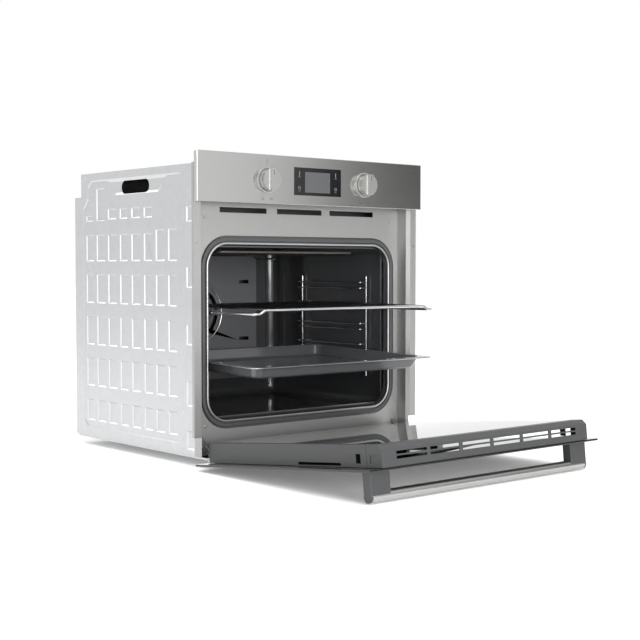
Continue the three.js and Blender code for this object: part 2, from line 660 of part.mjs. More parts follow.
function lampHousing() {
  const front = CAVITY_BACK + LINER + 0.4;
  const cup = cut(bar([LAMP_X, front, LAMP_Z], [LAMP_X, front + 40, LAMP_Z], 22, 20),
    bar([LAMP_X, front - 1, LAMP_Z], [LAMP_X, front + 36, LAMP_Z], 19, 20));
  const flange = cut(bar([LAMP_X, front, LAMP_Z], [LAMP_X, front + 2, LAMP_Z], 30, 20),
    bar([LAMP_X, front - 1, LAMP_Z], [LAMP_X, front + 3, LAMP_Z], 20, 20));
  return join(cup, flange);
}

function lampLens() {
  const y = CAVITY_BACK + LINER;
  const profile = [[0, 0], [22, 0], [22, 4], [14, 10], [0, 12]].map(([r, h]) => new THREE.Vector2(r, h));
  return solid(new THREE.LatheGeometry(profile, 20)).mirror([0, 1, 0]).translate([LAMP_X, y, LAMP_Z]);
}

function temperatureProbe() {
  return bar([PROBE_X, CAVITY_BACK - 70, PROBE_Z], [PROBE_X, CAVITY_BACK + 18, PROBE_Z], 2.6, 8);
}

// ---- insulation and works above the cavity ----

const BLANKET_GAP = 4;
const BLANKET_T = 12;
const BLANKET_SIDE_T = 8.6;
const BLANKET_FRONT = 66;
const BLANKET_FOOT = 24;
function insulationBlanket() {
  const gap = LINER + BLANKET_GAP;
  const x = CAVITY_HALF_W + gap;
  const y = [BLANKET_FRONT, CAVITY_BACK - 6];
  const outer = block([-x - BLANKET_SIDE_T, x + BLANKET_SIDE_T], y,
    [BLANKET_FOOT, CAVITY_CEILING + gap + BLANKET_T]);
  const inner = block([-x, x], [y[0] - 1, y[1] + 1], [BLANKET_FOOT + BLANKET_T, CAVITY_CEILING + gap]);
  return cut(outer, inner);
}

const SCROLL_R = 36;
const SCROLL_T = 1.5;
function blowerHousing() {
  const x = BLOWER_HALF_L + 4;
  const ring = cut(bar([-x, BLOWER_Y, BLOWER_Z], [x, BLOWER_Y, BLOWER_Z], SCROLL_R, 20),
    bar([-x + SCROLL_T, BLOWER_Y, BLOWER_Z], [x - SCROLL_T, BLOWER_Y, BLOWER_Z], SCROLL_R - SCROLL_T, 20));
  const inlet = block([-x + 6, x - 6], [BLOWER_Y - 10, BLOWER_Y + SCROLL_R + 2], [BLOWER_Z + 8, BLOWER_Z + SCROLL_R + 2]);
  const outlet = block([-x + 6, x - 6], [BLOWER_Y - SCROLL_R - 2, BLOWER_Y], [BLOWER_Z - 27, BLOWER_Z - 8]);
  const bores = bar([-x - 2, BLOWER_Y, BLOWER_Z], [x + 2, BLOWER_Y, BLOWER_Z], SHAFT_R + 1.5, 12);
  const foot = block([-x + 10, x - 10], [BLOWER_Y - 14, BLOWER_Y + 14],
    [DUCT_TOP + SEAM, BLOWER_Z - SCROLL_R + 1.5]);
  return cut(join(ring, foot), inlet, outlet, bores);
}

function blowerWheel() {
  const x = BLOWER_HALF_L;
  const shaft = bar([-x - 12, BLOWER_Y, BLOWER_Z], [x + 34, BLOWER_Y, BLOWER_Z], SHAFT_R, 10);
  const discs = [-x, 0, x].map((at) =>
    bar([at - 1, BLOWER_Y, BLOWER_Z], [at + 1, BLOWER_Y, BLOWER_Z], BLOWER_R, 16));
  const vanes = [];
  const count = 12;
  for (let k = 0; k < count; k += 1) {
    const vane = block([-x, x], [BLOWER_R - 8, BLOWER_R - 0.5], [-0.6, 0.6]);
    vanes.push(vane.rotate([(k / count) * 360, 0, 0]).translate([0, BLOWER_Y, BLOWER_Z]));
  }
  return join(shaft, discs, vanes);
}

function blowerMotor() {
  const x = BLOWER_HALF_L + 10;
  const body = block([x, x + 34], [BLOWER_Y - 26, BLOWER_Y + 26], [BLOWER_Z - 26, BLOWER_Z + 26]);
  const foot = block([x, x + 34], [BLOWER_Y - 12, BLOWER_Y + 12], [DUCT_TOP + SEAM, BLOWER_Z - 25]);
  const bore = bar([x - 2, BLOWER_Y, BLOWER_Z], [x + 30, BLOWER_Y, BLOWER_Z], SHAFT_R + 0.4, 10);
  return cut(join(body, foot), bore);
}

// The channel that carries cooling air from the blower to the slots in the plate.
const DUCT_FOOT = CAVITY_CEILING + 28;
const DUCT_TOP = DUCT_FOOT + 12;
const DUCT_BACK = 420;
function airDuct() {
  const half = 224;
  const front = PLATE_Y + FRAME_SHEET + SEAM;
  const shell = cut(block([-half, half], [front, DUCT_BACK], [DUCT_FOOT, DUCT_TOP]),
    block([-half + 1.2, half - 1.2], [front - 1, DUCT_BACK - 1.2], [DUCT_FOOT + 1.2, DUCT_TOP - 1.2]));
  const hoodTop = FASCIA_FOOT - SLOT_TOP + 2;
  const hood = cut(block([-half, half], [front, front + 40], [DUCT_TOP - 1.2, hoodTop]),
    block([-half + 1.2, half - 1.2], [front - 1, front + 38.8], [DUCT_TOP - 3, hoodTop - 1.2]));
  const inlet = block([-BLOWER_HALF_L, BLOWER_HALF_L], [BLOWER_Y - 60, BLOWER_Y - 18], [DUCT_TOP - 3, DUCT_TOP + 2]);
  const mouthUp = block([-half + 1.2, half - 1.2], [front - 1, front + 38.8], [DUCT_TOP - 3, DUCT_TOP + 1]);
  return cut(join(shell, hood), inlet, mouthUp);
}

function limitThermostat() {
  const z = DUCT_TOP + SEAM;
  const x = -150;
  const base = block([x - 20, x + 20], [300, 330], [z, z + 3]);
  const can = bar([x, 315, z + 2], [x, 315, z + 18], 11, 14);
  return join(base, can);
}

// ---- controls ----

function controlFascia() {
  const t = FASCIA_WALL;
  const x = FRONT_HALF;
  const shell = cut(block([-x, x], [FRONT_Y, FASCIA_BACK], [FASCIA_FOOT, FRONT_H]),
    block([-x + t, x - t], [FRONT_Y + t, FASCIA_BACK + 1], [FASCIA_FOOT + t, FRONT_H - t]));
  const window = block([DISPLAY.left, DISPLAY.right], [FRONT_Y - 1, FRONT_Y + 5], [DISPLAY.foot, DISPLAY.top]);
  const knobHoles = KNOBS.map(({ x: at }) =>
    bar([at, FRONT_Y - 1, KNOB_Z], [at, FRONT_Y + 5, KNOB_Z], COLLAR_R - 1.5, 24));
  return cut(shell, window, knobHoles);
}

// The moulded carrier that holds the display and both switches behind the fascia.
function controlCarrier() {
  const y = [CARRIER_FRONT, CARRIER_BACK];
  const plate = block([-190, 190], y, [FASCIA_FOOT + 8, FRONT_H - 28]);
  const legs = [-187, 187].map((x) =>
    block([x - 3, x + 3], [y[0], PLATE_Y - SEAM], [FASCIA_FOOT + 8, FRONT_H - 28]));
  const holes = KNOBS.map(({ x }) => bar([x, y[0] - 1, KNOB_Z], [x, y[1] + 1, KNOB_Z], SWITCH_HALF_W + 6, 16));
  return cut(join(plate, legs), holes);
}
const CARRIER_FRONT = FASCIA_BACK + 0.5;
const CARRIER_BACK = CARRIER_FRONT + 3;

function displayGlass() {
  const gap = 0.3;
  const y = [FRONT_Y - 0.2, FRONT_Y - 0.2 + DISPLAY_T];
  const plate = block([DISPLAY.left + gap, DISPLAY.right - gap], y, [DISPLAY.foot + gap, DISPLAY.top - gap]);
  const recess = block([SCREEN.left, SCREEN.right], [y[0] - 1, y[0] + 1.2], [SCREEN.foot, SCREEN.top]);
  return cut(plate, recess);
}

function displayScreen() {
  const gap = 0.3;
  const front = FRONT_Y - 0.1;
  return block([SCREEN.left + gap, SCREEN.right - gap], [front, front + 0.8], [SCREEN.foot + gap, SCREEN.top - gap]);
}

function controlBoard() {
  const front = FRONT_Y + DISPLAY_T + 0.4;
  const sheet = block([-88, 88], [front, front + 1.6], [FASCIA_FOOT + 14, FRONT_H - 24]);
  const chips = [[-60, -13], [0, 0], [48, -15]].map(([x, up]) => [x, KNOB_Z + up]).map(([x, z]) =>
    block([x - 14, x + 14], [front + 1.2, front + 5], [z - 8, z + 8]));
  return join(sheet, chips);
}

const SWITCH_FRONT = CARRIER_BACK + 0.4;
function switchBody(x, depth) {
  const half = SWITCH_HALF_W;
  const body = block([x - half, x + half], [SWITCH_FRONT, SWITCH_FRONT + depth], [KNOB_Z - half, KNOB_Z + half]);
  const bore = bar([x, SWITCH_FRONT - 1, KNOB_Z], [x, SWITCH_FRONT + 16, KNOB_Z], SPINDLE_R + SPINDLE_GAP, 16);
  const tabs = block([x - 4, x + 4], [SWITCH_FRONT + depth - 1, SWITCH_FRONT + depth + 9], [KNOB_Z - 12, KNOB_Z + 12]);
  return join(cut(body, bore), tabs);
}

function knobCollar(x) {
  const front = FRONT_Y - COLLAR_OUT;
  const bore = KNOB_R + COLLAR_GAP;
  const lip = cut(bar([x, front, KNOB_Z], [x, FRONT_Y - 0.3, KNOB_Z], COLLAR_R, 24),
    bar([x, front - 1, KNOB_Z], [x, FRONT_Y + 1, KNOB_Z], bore, 24));
  const sleeve = cut(bar([x, FRONT_Y - 1, KNOB_Z], [x, SLEEVE_BACK, KNOB_Z], SLEEVE_R, 24),
    bar([x, front - 1, KNOB_Z], [x, SLEEVE_BACK + 1, KNOB_Z], bore, 24));
  return join(lip, sleeve);
}
const SLEEVE_R = COLLAR_R - 1.8;
const SLEEVE_BACK = FASCIA_BACK - 1;

function knobSpindle(x) {
  const front = FRONT_Y - KNOB_OUT + 4 + KNOB_PUSH + 0.6;
  return bar([x, front, KNOB_Z], [x, SWITCH_FRONT + 14, KNOB_Z], SPINDLE_R, 12);
}

// A drum with a raised grip bar across its face, bored for its spindle.
function knob(x) {
  const front = FRONT_Y - KNOB_OUT;
  const back = front + KNOB_LENGTH;
  const step = front + GRIP_RISE;
  const z = [KNOB_Z - KNOB_R - 1, KNOB_Z + KNOB_R + 1];
  const drum = bar([x, front, KNOB_Z], [x, back, KNOB_Z], KNOB_R, 28);
  const sides = [block([x - KNOB_R - 1, x - GRIP_HALF_W], [front - 1, step], z),
    block([x + GRIP_HALF_W, x + KNOB_R + 1], [front - 1, step], z)];
  const bore = bar([x, front + 4, KNOB_Z], [x, back + 1, KNOB_Z], SPINDLE_R + SPINDLE_GAP, 12);
  const relief = bar([x, front + 8, KNOB_Z], [x, back + 1, KNOB_Z], KNOB_R - 2.5, 16);
  const boss = bar([x, front + 7, KNOB_Z], [x, back, KNOB_Z], 6.5, 12);
  return cut(join(cut(drum, sides, relief), boss), bore);
}

// ---- shelf and tray ----

function wireShelf() {
  const z = railHeight(SHELF_LEVEL) + WIRE_R + SHELF_R + 0.3;
  const x = SHELF_HALF_W - SHELF_R;
  const y = [SHELF_FRONT + SHELF_R, SHELF_FRONT + SHELF_DEPTH - SHELF_R];
  const step = 7; // the front and back bars stand this much above the side wires
  const grid = RAIL_X - SHELF_CRANK;
  const corner = (s, at) => [[s * (grid - 8), at, z + step], [s * (grid + 4), at, z], [s * x, at, z]];
  const loop = wire([[4, y[1], z + step], ...corner(1, y[1]), ...corner(1, y[0]).reverse(),
    ...corner(-1, y[0]), ...corner(-1, y[1]).reverse(), [-4, y[1], z + step]],
  SHELF_R, { bend: 9, steps: 2, sides: 8 });
  const weld = bar([-8, y[1], z + step], [8, y[1], z + step], SHELF_R - 0.4);
  const bars = [];
  for (let i = 0; i < SHELF_CROSS_WIRES; i += 1) {
    const at = -grid + 16 + (i * 2 * (grid - 16)) / (SHELF_CROSS_WIRES - 1);
    bars.push(bar([at, y[0], z + step], [at, y[1], z + step], SHELF_CROSS_R, 6));
  }
  const runnerZ = railHeight(SHELF_LEVEL) + WIRE_R + SHELF_CROSS_R + 0.3;
  const runners = [-1, 1].map((s) =>
    bar([s * RAIL_X, y[0], runnerZ], [s * RAIL_X, y[1], runnerZ], SHELF_CROSS_R, 6));
  return join(loop, weld, bars, runners);
}

// A tapered tub with a flat flange all round; its outline shrinks from the flange to the floor.
function taperedTub(halfTop, halfFoot, frontTop, backTop, taper, z0, z1, r) {
  const top = roundRect([-halfTop, halfTop], [frontTop, backTop], r).getPoints(2);
  const foot = roundRect([-halfFoot, halfFoot], [frontTop + taper, backTop - taper], r * 0.8).getPoints(2);
  const count = top.length - 1;
  const positions = [];
  const at = (ring, z) => (i) => [ring[i % count].x, ring[i % count].y, z];
  const low = at(foot, z0);
  const high = at(top, z1);
  const middle = (frontTop + backTop) / 2;
  for (let i = 0; i < count; i += 1) {
    positions.push(...low(i), ...low(i + 1), ...high(i + 1), ...low(i), ...high(i + 1), ...high(i));
    positions.push(...low(i + 1), ...low(i), 0, middle, z0, ...high(i), ...high(i + 1), 0, middle, z1);
  }
  const geometry = new THREE.BufferGeometry();
  geometry.setAttribute("position", new THREE.Float32BufferAttribute(positions, 3));
  return solid(geometry);
}

function bakingTray() {
  const depth = TRAY_DEPTH;
  const well = RAIL_X - TRAY_CLEAR;
  const taper = 9;
  const sheet = slabZ(roundRect([-TRAY_HALF_W, TRAY_HALF_W], [0, depth], 12), -TRAY_T, 0, 2);
  const outer = taperedTub(well, well - taper, TRAY_FLANGE, depth - TRAY_FLANGE, taper, -TRAY_H, 0, 20);
  const inner = taperedTub(well - TRAY_T, well - taper - TRAY_T, TRAY_FLANGE + TRAY_T, depth - TRAY_FLANGE - TRAY_T,
    taper, -TRAY_H + TRAY_T, 1, 19);
  const hole = slabZ(roundRect([-well + TRAY_T, well - TRAY_T],
    [TRAY_FLANGE + TRAY_T, depth - TRAY_FLANGE - TRAY_T], 19), -TRAY_T - 1, 1, 2);
  const tray = join(cut(sheet, hole), cut(outer, inner));
  const seatZ = railHeight(TRAY_LEVEL) + WIRE_R + TRAY_T + 0.35;
  const lift = (RACK_FRONT - SHELF_FRONT) * Math.tan(TRAY_TILT);
  return tray.rotate([THREE.MathUtils.radToDeg(TRAY_TILT), 0, 0]).translate([0, SHELF_FRONT, seatZ - lift]);
}

// ---- door, modelled shut ----

function doorOuterPanel() {
  return block([-FRONT_HALF, FRONT_HALF], [FRONT_Y, PANEL_BACK], [DOOR_FOOT, DOOR_FOOT + DOOR_H]);
}

function doorSideRail(side) {
  const x = [DOOR_BODY_HALF_W - RAIL_T * 2, DOOR_BODY_HALF_W];
  const y = [PANEL_BACK + GLASS_INSET, DOOR_BODY_BACK];
  const z = [HINGE_CASE_TOP + GLASS_INSET, CAP_FOOT - GLASS_INSET];
  const web = block([x[1] - DOOR_SHEET, x[1]], y, [DOOR_BODY_FOOT, z[1]]);
  const backFlange = block(x, [y[1] - DOOR_SHEET, y[1]], z);
  const frontFlange = block(x, [y[0], y[0] + DOOR_SHEET], z);
  const ledge = [PANEL_BACK + MIDDLE_SHELF_AT, PANEL_BACK + MIDDLE_SHELF_AT + DOOR_SHEET];
  const shelf = block([x[0] - 5, x[1]], ledge, z);
  const notch = block([x[1] - 3, x[1] + 1], [y[0] + 2, y[0] + 7], [275, 389]);
  const rail = cut(join(web, backFlange, frontFlange, shelf), notch);
  return side > 0 ? rail : mirrored(rail);
}

function doorTopCap() {
  const x = DOOR_BODY_HALF_W;
  const y = [PANEL_BACK + GLASS_INSET, DOOR_BODY_BACK];
  const wall = 2.4;
  const profile = (inset) => outline([y[0] + inset, CAP_FOOT - inset * 10], [y[1] - inset, CAP_FOOT - inset * 10],
    [y[1] - inset, CAP_TOP - CAP_CHAMFER - inset * 0.4], [y[1] - CAP_CHAMFER - inset * 0.4, CAP_TOP - inset],
    [y[0] + inset, CAP_TOP - inset]);
  const shell = cut(slabX(profile(0), -x, x), slabX(profile(wall), -x + wall, x - wall));
  const slots = [];
  for (let i = 0; i < CAP_SLOTS; i += 1) {
    const at = (i - (CAP_SLOTS - 1) / 2) * CAP_SLOT_PITCH;
    for (const up of [12.5, 20.5]) {
      slots.push(block([at - CAP_SLOT_L / 2, at + CAP_SLOT_L / 2], [y[0] + up, y[0] + up + CAP_SLOT_H],
        [CAP_TOP - wall - 1, CAP_TOP + 1]));
    }
  }
  const glassNotch = block([-GLASS_HALF - GLASS_INSET, GLASS_HALF + GLASS_INSET],
    [DOOR_BODY_BACK - GLASS_T - GLASS_INSET, DOOR_BODY_BACK + 1], [CAP_FOOT - 1, CAP_FOOT + 9]);
  return cut(shell, slots, glassNotch);
}
const GLASS_HALF = DOOR_BODY_HALF_W - RAIL_T * 2 - 1;

function doorBottomRail() {
  const x = HINGE_X - HINGE_CASE_HALF_W - 1;
  const y = [PANEL_BACK + GLASS_INSET, DOOR_BODY_BACK - GLASS_T - GLASS_INSET];
  const z = [DOOR_BODY_FOOT, DOOR_BODY_FOOT + DOOR_RAIL_H];
  return join(block([-x, x], y, [z[0], z[0] + DOOR_SHEET]),
    block([-x, x], [y[0], y[0] + DOOR_SHEET], z),
    block([-x, x], [y[1] - DOOR_SHEET, y[1]], [z[0], z[0] + 7]));
}

function doorInnerGlass() {
  return block([-GLASS_HALF, GLASS_HALF], [DOOR_BODY_BACK - GLASS_T, DOOR_BODY_BACK],
    [DOOR_BODY_FOOT, CAP_FOOT + 8]);
}

function doorMiddleGlass() {
  const y = PANEL_BACK + MIDDLE_GLASS_AT;
  const foot = DOOR_BODY_FOOT + DOOR_SHEET + GLASS_INSET;
  const pane = block([-GLASS_HALF, GLASS_HALF], [y, y + GLASS_T], [foot, CAP_FOOT - 1]);
  const corners = [-1, 1].map((s) => {
    const x = s * (HINGE_X - 4);
    return block([Math.min(x - 6, x + 6), Math.max(x - 6, x + 6)], [y - 1, y + GLASS_T + 1], [foot - 1, 48]);
  });
  return cut(pane, corners);
}

// The hinge case inside each lower corner of the door.
const HINGE_CASE_TOP = 110;
function doorHingeCase(side) {
  const x = side * HINGE_X;
  const half = HINGE_CASE_HALF_W;
  const y = [PANEL_BACK + GLASS_INSET + 1.4, PANEL_BACK + 24];
  const z = [DOOR_BODY_FOOT, HINGE_CASE_TOP];
  const cheeks = [[x - half, x - half + 2], [x + half - 2, x + half]].map((span) => join(
    block(span, y, z),
    block(span, [y[0], HINGE_Y + 4], [HINGE_Z - 4, DOOR_BODY_FOOT + 1])));
  const walls = [
    block([x - half, x + half], [y[0], y[0] + 1.5], [24, z[1]]),
    block([x - half, x + half], [y[1] - 1.5, y[1]], [66, z[1]]),
    block([x - half, x + half], y, [z[1] - 2, z[1]])];
  const bore = bar([x - half - 1, HINGE_Y, HINGE_Z], [x + half + 1, HINGE_Y, HINGE_Z], PIN_R + 0.3, 12);
  return cut(join(cheeks, walls), bore);
}

function handleBar() {
  const x = HANDLE_HALF_L - HANDLE_END_T - 0.3;
  return cut(bar([-x, HANDLE_Y, HANDLE_Z], [x, HANDLE_Y, HANDLE_Z], HANDLE_R, 24),
    bar([-x - 1, HANDLE_Y, HANDLE_Z], [x + 1, HANDLE_Y, HANDLE_Z], HANDLE_R - 1.5, 24));
}

// A post from the door panel to the bar, with a round end that closes the bar.
function handlePost(side) {
  const outer = HANDLE_HALF_L;
  const inner = outer - POST_W;
  const depth = HANDLE_R - 0.2;
  const stem = block([inner, outer], [HANDLE_Y, FRONT_Y - 0.3], [HANDLE_Z - depth, HANDLE_Z + depth]);
  const seat = bar([inner - 1, HANDLE_Y, HANDLE_Z], [outer - HANDLE_END_T, HANDLE_Y, HANDLE_Z], HANDLE_R + 0.3, 24);
  const end = bar([outer - HANDLE_END_T, HANDLE_Y, HANDLE_Z], [outer, HANDLE_Y, HANDLE_Z], HANDLE_R, 24);
  const plug = bar([outer - HANDLE_END_T - 16, HANDLE_Y, HANDLE_Z], [outer - 1, HANDLE_Y, HANDLE_Z],
    HANDLE_R - 1.9, 24);
  const post = join(cut(stem, seat), end, plug);
  return side > 0 ? post : mirrored(post);
}

// ---- assembly ----

place("front_frame", frontFrame(), plateSteel);
place("side_panel_right", sidePanel(), galvanised);
place("side_panel_left", mirrored(sidePanel()), galvanised);
place("top_cover", topCover(), galvanised);
place("rear_wall", rearWall(), galvanised);
place("back_cover", backCover(), galvanised);
place("terminal_block", terminalBlock(), blackPlastic);
place("base_pan", basePan(), galvanised);
place("cavity_liner", cavityLiner(), enamel);
place("mouth_gasket", mouthGasket(), silicone);
place("shelf_rack_left", shelfRack(-1), chrome);
place("shelf_rack_right", shelfRack(1), chrome);
place("fan_baffle", fanBaffle(), enamel);
place("convection_fan", convectionFan(), galvanised);
place("fan_motor", fanMotor(), galvanised);
place("ring_element", ringElement(), elementSteel);
place("grill_element", grillElement(), elementSteel);
place("bottom_element", bottomElement(), elementSteel);
place("lamp_housing", lampHousing(), galvanised);
place("lamp_lens", lampLens(), clearGlass);
place("temperature_probe", temperatureProbe(), chrome);
place("insulation_blanket", insulationBlanket(), fibre);
place("blower_housing", blowerHousing(), galvanised);
place("blower_wheel", blowerWheel(), galvanised);
place("blower_motor", blowerMotor(), elementSteel);
place("air_duct", airDuct(), galvanised);
place("limit_thermostat", limitThermostat(), elementSteel);
place("control_fascia", controlFascia(), brushed);
place("control_carrier", controlCarrier(), blackPlastic);
place("display_glass", displayGlass(), blackGlass);
place("display_screen", displayScreen(), blackGlass);
place("control_board", controlBoard(), board);
place("function_switch", switchBody(KNOBS[0].x, 26), blackPlastic);
place("thermostat_switch", switchBody(KNOBS[1].x, 20), blackPlastic);
for (const { side, x } of KNOBS) {
  place(`knob_collar_${side}`, knobCollar(x), satin);
  place(`knob_spindle_${side}`, knobSpindle(x), elementSteel);
  place(`knob_${side}`, knob(x), satin);
}
place("wire_shelf", wireShelf(), chrome);
place("baking_tray", bakingTray(), enamel);
for (const [name, side] of [["left", -1], ["right", 1]]) {
  place(`hinge_receiver_${name}`, hingeReceiver(side), galvanised);
  place(`hinge_arm_${name}`, hingeArm(side), galvanised);
  place(`door_side_rail_${name}`, doorSideRail(side), blackPlastic, door);
  place(`door_hinge_case_${name}`, doorHingeCase(side), galvanised, door);
  place(`handle_post_${name}`, handlePost(side), blackPlastic, door);
}
place("door_outer_panel", doorOuterPanel(), blackGlass, door);
place("door_top_cap", doorTopCap(), blackPlastic, door);
place("door_bottom_rail", doorBottomRail(), blackPlastic, door);
place("door_inner_glass", doorInnerGlass(), clearGlass, door);
place("door_middle_glass", doorMiddleGlass(), clearGlass, door);
place("handle_bar", handleBar(), brushed, door);

export default oven;
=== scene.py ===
"""A built-in wall oven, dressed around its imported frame: sheet metal, enamel, glass and wire."""
import sys

import json
import math

import bpy
from mathutils import Matrix, Vector
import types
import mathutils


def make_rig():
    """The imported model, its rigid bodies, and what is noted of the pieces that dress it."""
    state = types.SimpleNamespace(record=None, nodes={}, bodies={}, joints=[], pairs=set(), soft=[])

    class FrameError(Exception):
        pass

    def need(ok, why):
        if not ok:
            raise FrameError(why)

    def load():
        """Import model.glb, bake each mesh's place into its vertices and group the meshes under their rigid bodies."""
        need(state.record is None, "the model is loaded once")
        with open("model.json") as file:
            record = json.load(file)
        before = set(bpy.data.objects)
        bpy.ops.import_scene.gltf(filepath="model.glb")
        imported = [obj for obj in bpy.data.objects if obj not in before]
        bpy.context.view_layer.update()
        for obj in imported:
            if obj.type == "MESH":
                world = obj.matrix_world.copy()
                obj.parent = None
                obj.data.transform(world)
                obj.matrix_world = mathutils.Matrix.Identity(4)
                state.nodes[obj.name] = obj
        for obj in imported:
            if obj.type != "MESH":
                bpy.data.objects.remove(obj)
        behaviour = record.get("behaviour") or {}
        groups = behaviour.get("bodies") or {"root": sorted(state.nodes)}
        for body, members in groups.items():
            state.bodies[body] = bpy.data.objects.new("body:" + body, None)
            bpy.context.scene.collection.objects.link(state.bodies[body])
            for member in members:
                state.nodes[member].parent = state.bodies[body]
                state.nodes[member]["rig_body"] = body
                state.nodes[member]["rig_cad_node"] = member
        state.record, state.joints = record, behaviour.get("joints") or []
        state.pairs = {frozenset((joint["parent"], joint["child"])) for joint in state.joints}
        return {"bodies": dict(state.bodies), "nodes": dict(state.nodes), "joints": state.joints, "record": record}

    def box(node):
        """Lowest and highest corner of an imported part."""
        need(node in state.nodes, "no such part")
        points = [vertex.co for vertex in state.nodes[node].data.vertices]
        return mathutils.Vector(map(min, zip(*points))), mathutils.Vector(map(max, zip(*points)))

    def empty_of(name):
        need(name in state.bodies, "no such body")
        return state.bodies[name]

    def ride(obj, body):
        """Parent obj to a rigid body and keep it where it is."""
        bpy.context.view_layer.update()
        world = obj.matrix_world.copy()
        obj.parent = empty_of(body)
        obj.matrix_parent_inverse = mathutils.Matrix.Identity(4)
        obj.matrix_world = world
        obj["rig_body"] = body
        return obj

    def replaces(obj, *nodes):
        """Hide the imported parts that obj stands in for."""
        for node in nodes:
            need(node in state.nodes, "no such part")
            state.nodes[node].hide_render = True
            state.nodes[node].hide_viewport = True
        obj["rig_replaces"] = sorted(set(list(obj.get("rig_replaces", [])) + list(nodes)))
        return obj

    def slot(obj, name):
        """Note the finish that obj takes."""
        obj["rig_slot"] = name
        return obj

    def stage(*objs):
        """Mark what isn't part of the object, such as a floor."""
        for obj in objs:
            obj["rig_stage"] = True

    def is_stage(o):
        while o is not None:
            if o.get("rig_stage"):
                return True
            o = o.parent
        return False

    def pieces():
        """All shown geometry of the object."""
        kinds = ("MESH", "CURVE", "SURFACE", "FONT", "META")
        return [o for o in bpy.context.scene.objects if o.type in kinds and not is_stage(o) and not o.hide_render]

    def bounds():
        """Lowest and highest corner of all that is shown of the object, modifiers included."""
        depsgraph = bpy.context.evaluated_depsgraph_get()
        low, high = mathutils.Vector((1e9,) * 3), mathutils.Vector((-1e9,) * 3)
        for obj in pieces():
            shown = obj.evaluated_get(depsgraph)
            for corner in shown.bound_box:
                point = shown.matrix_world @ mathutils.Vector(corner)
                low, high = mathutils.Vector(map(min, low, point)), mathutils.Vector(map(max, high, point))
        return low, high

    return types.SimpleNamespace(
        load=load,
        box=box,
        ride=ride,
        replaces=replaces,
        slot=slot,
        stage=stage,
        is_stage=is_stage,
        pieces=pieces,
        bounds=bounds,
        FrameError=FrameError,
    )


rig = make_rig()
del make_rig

bl_info = {
    "name": "Wall oven",
    "version": (1, 0, 0),
    "blender": (4, 5, 0),
    "location": "View3D > Sidebar > Oven",
    "description": "Builds a built-in wall oven around its packed frame",
    "category": "Object",
}

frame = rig.load()
CAD_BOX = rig.bounds()
MM = 0.001


def span(node):
    """A CAD node's box in millimetres: its extent along X, Y and Z."""
    low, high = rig.box(node)
    return [(a / MM, b / MM) for a, b in zip(low, high)]


# ---- places taken from the frame, in millimetres ----
FASCIA_X, FASCIA_Y, FASCIA_Z = span("control_fascia")
SIDE_X, SIDE_Y, SIDE_Z = span("side_panel_right")
KNOB_LEFT = span("knob_left")
KNOB_RIGHT = span("knob_right")
KNOB_X = [sum(KNOB_LEFT[0]) / 2, sum(KNOB_RIGHT[0]) / 2]
KNOB_Z = sum(KNOB_LEFT[2]) / 2
KNOB_Y = KNOB_LEFT[1]
KNOB_R = (KNOB_LEFT[0][1] - KNOB_LEFT[0][0]) / 2
COLLAR_X, COLLAR_Y = span("knob_collar_left")[:2]
DISPLAY_X, DISPLAY_Y, DISPLAY_Z = span("display_glass")
SCREEN_X, SCREEN_Y, SCREEN_Z = span("display_screen")
GASKET_Y = span("mouth_gasket")[1]
LINER_X, LINER_Y = span("cavity_liner")[:2]
BAFFLE_Y = span("fan_baffle")[1]
RACK_X, RACK_Y, RACK_Z = span("shelf_rack_right")
SHELF_X, SHELF_Y, SHELF_Z = span("wire_shelf")
HANDLE_X = span("handle_bar")[0]
FAN_Z = sum(span("convection_fan")[2]) / 2

# ---- sizes of the door, drawn shut and then swung to its stop ----
DOOR_OPEN = math.radians(84.3)
HINGE_LINE = Vector((0, -11.5, 1.8)) * MM
FRONT_HALF = FASCIA_X[1]
DOOR_FOOT = 1.0
DOOR_TOP = FASCIA_Z[0] - 3.5
PANEL_T = 4.0
HANDLE_Z = 466.0
HANDLE_Y = FASCIA_Y[0] - 43.0
HANDLE_END = 281.0
POST_W = 45.0

# ---- the oven's mouth and cavity ----
MOUTH_HALF_W = 241.5
MOUTH_Z = (70.5, 418.5)
MOUTH_R = 46.0
CAVITY_HALF_W = 246.0
CAVITY_Z = (66.0, 424.0)
CAVITY_BACK = 434.0
SHEET = 1.2
WIRE_R = 1.6
RAIL_X = RACK_X[0] + WIRE_R
UPRIGHT_X = 242.4
RACK_LEVELS = 5
RAIL_PITCH = 46.0
RAIL_PAIR = 12.3
TOP_RAIL = 338.0
SHELF_STEP = 7.0
SHELF_SHOULDER = 17.0
SHELF_CROSS_WIRES = 21
SHELF_WIRE_MARGIN = 16.0
TRAY_TILT = math.radians(1.75)
TRAY_HALF, TRAY_DEPTH, TRAY_HEIGHT = 237.4, 370.8, 24.0
TRAY_FLANGE = 16.5
TRAY_TAPER = 9.0
TRAY_CORNER_R = 20.0
TRAY_LIP = 1.2
TRAY_SHEET = 1.0
TRAY_RIM_R = 1.4
GRILLE_R, GRILLE_WIRE_R = 69.0, 2.2
SEAL_INNER, SEAL_OUTER = 6.25, 13.75

# ---- controls ----
FASCIA_WALL = 1.2
KNOB_HOLE_R = 24.5
SLEEVE_R = 24.2
KNOB_PLAY = 0.6
GRIP_HALF_W = 7.0
SCOOP_DEPTH = 5.0
DIAL_R = 31.0


# ---- properties ----

def linear(hex_colour):
    """An sRGB hex colour as linear RGBA."""
    channels = [int(hex_colour[i:i + 2], 16) / 255 for i in (1, 3, 5)]
    turned = [c / 12.92 if c <= 0.04045 else ((c + 0.055) / 1.055) ** 2.4 for c in channels]
    return (*turned, 1.0)


def size_prop(name, default_mm, text):
    return bpy.props.FloatProperty(name=name, description=text, default=default_mm * MM, min=0.0,
                                   unit="LENGTH", precision=4)


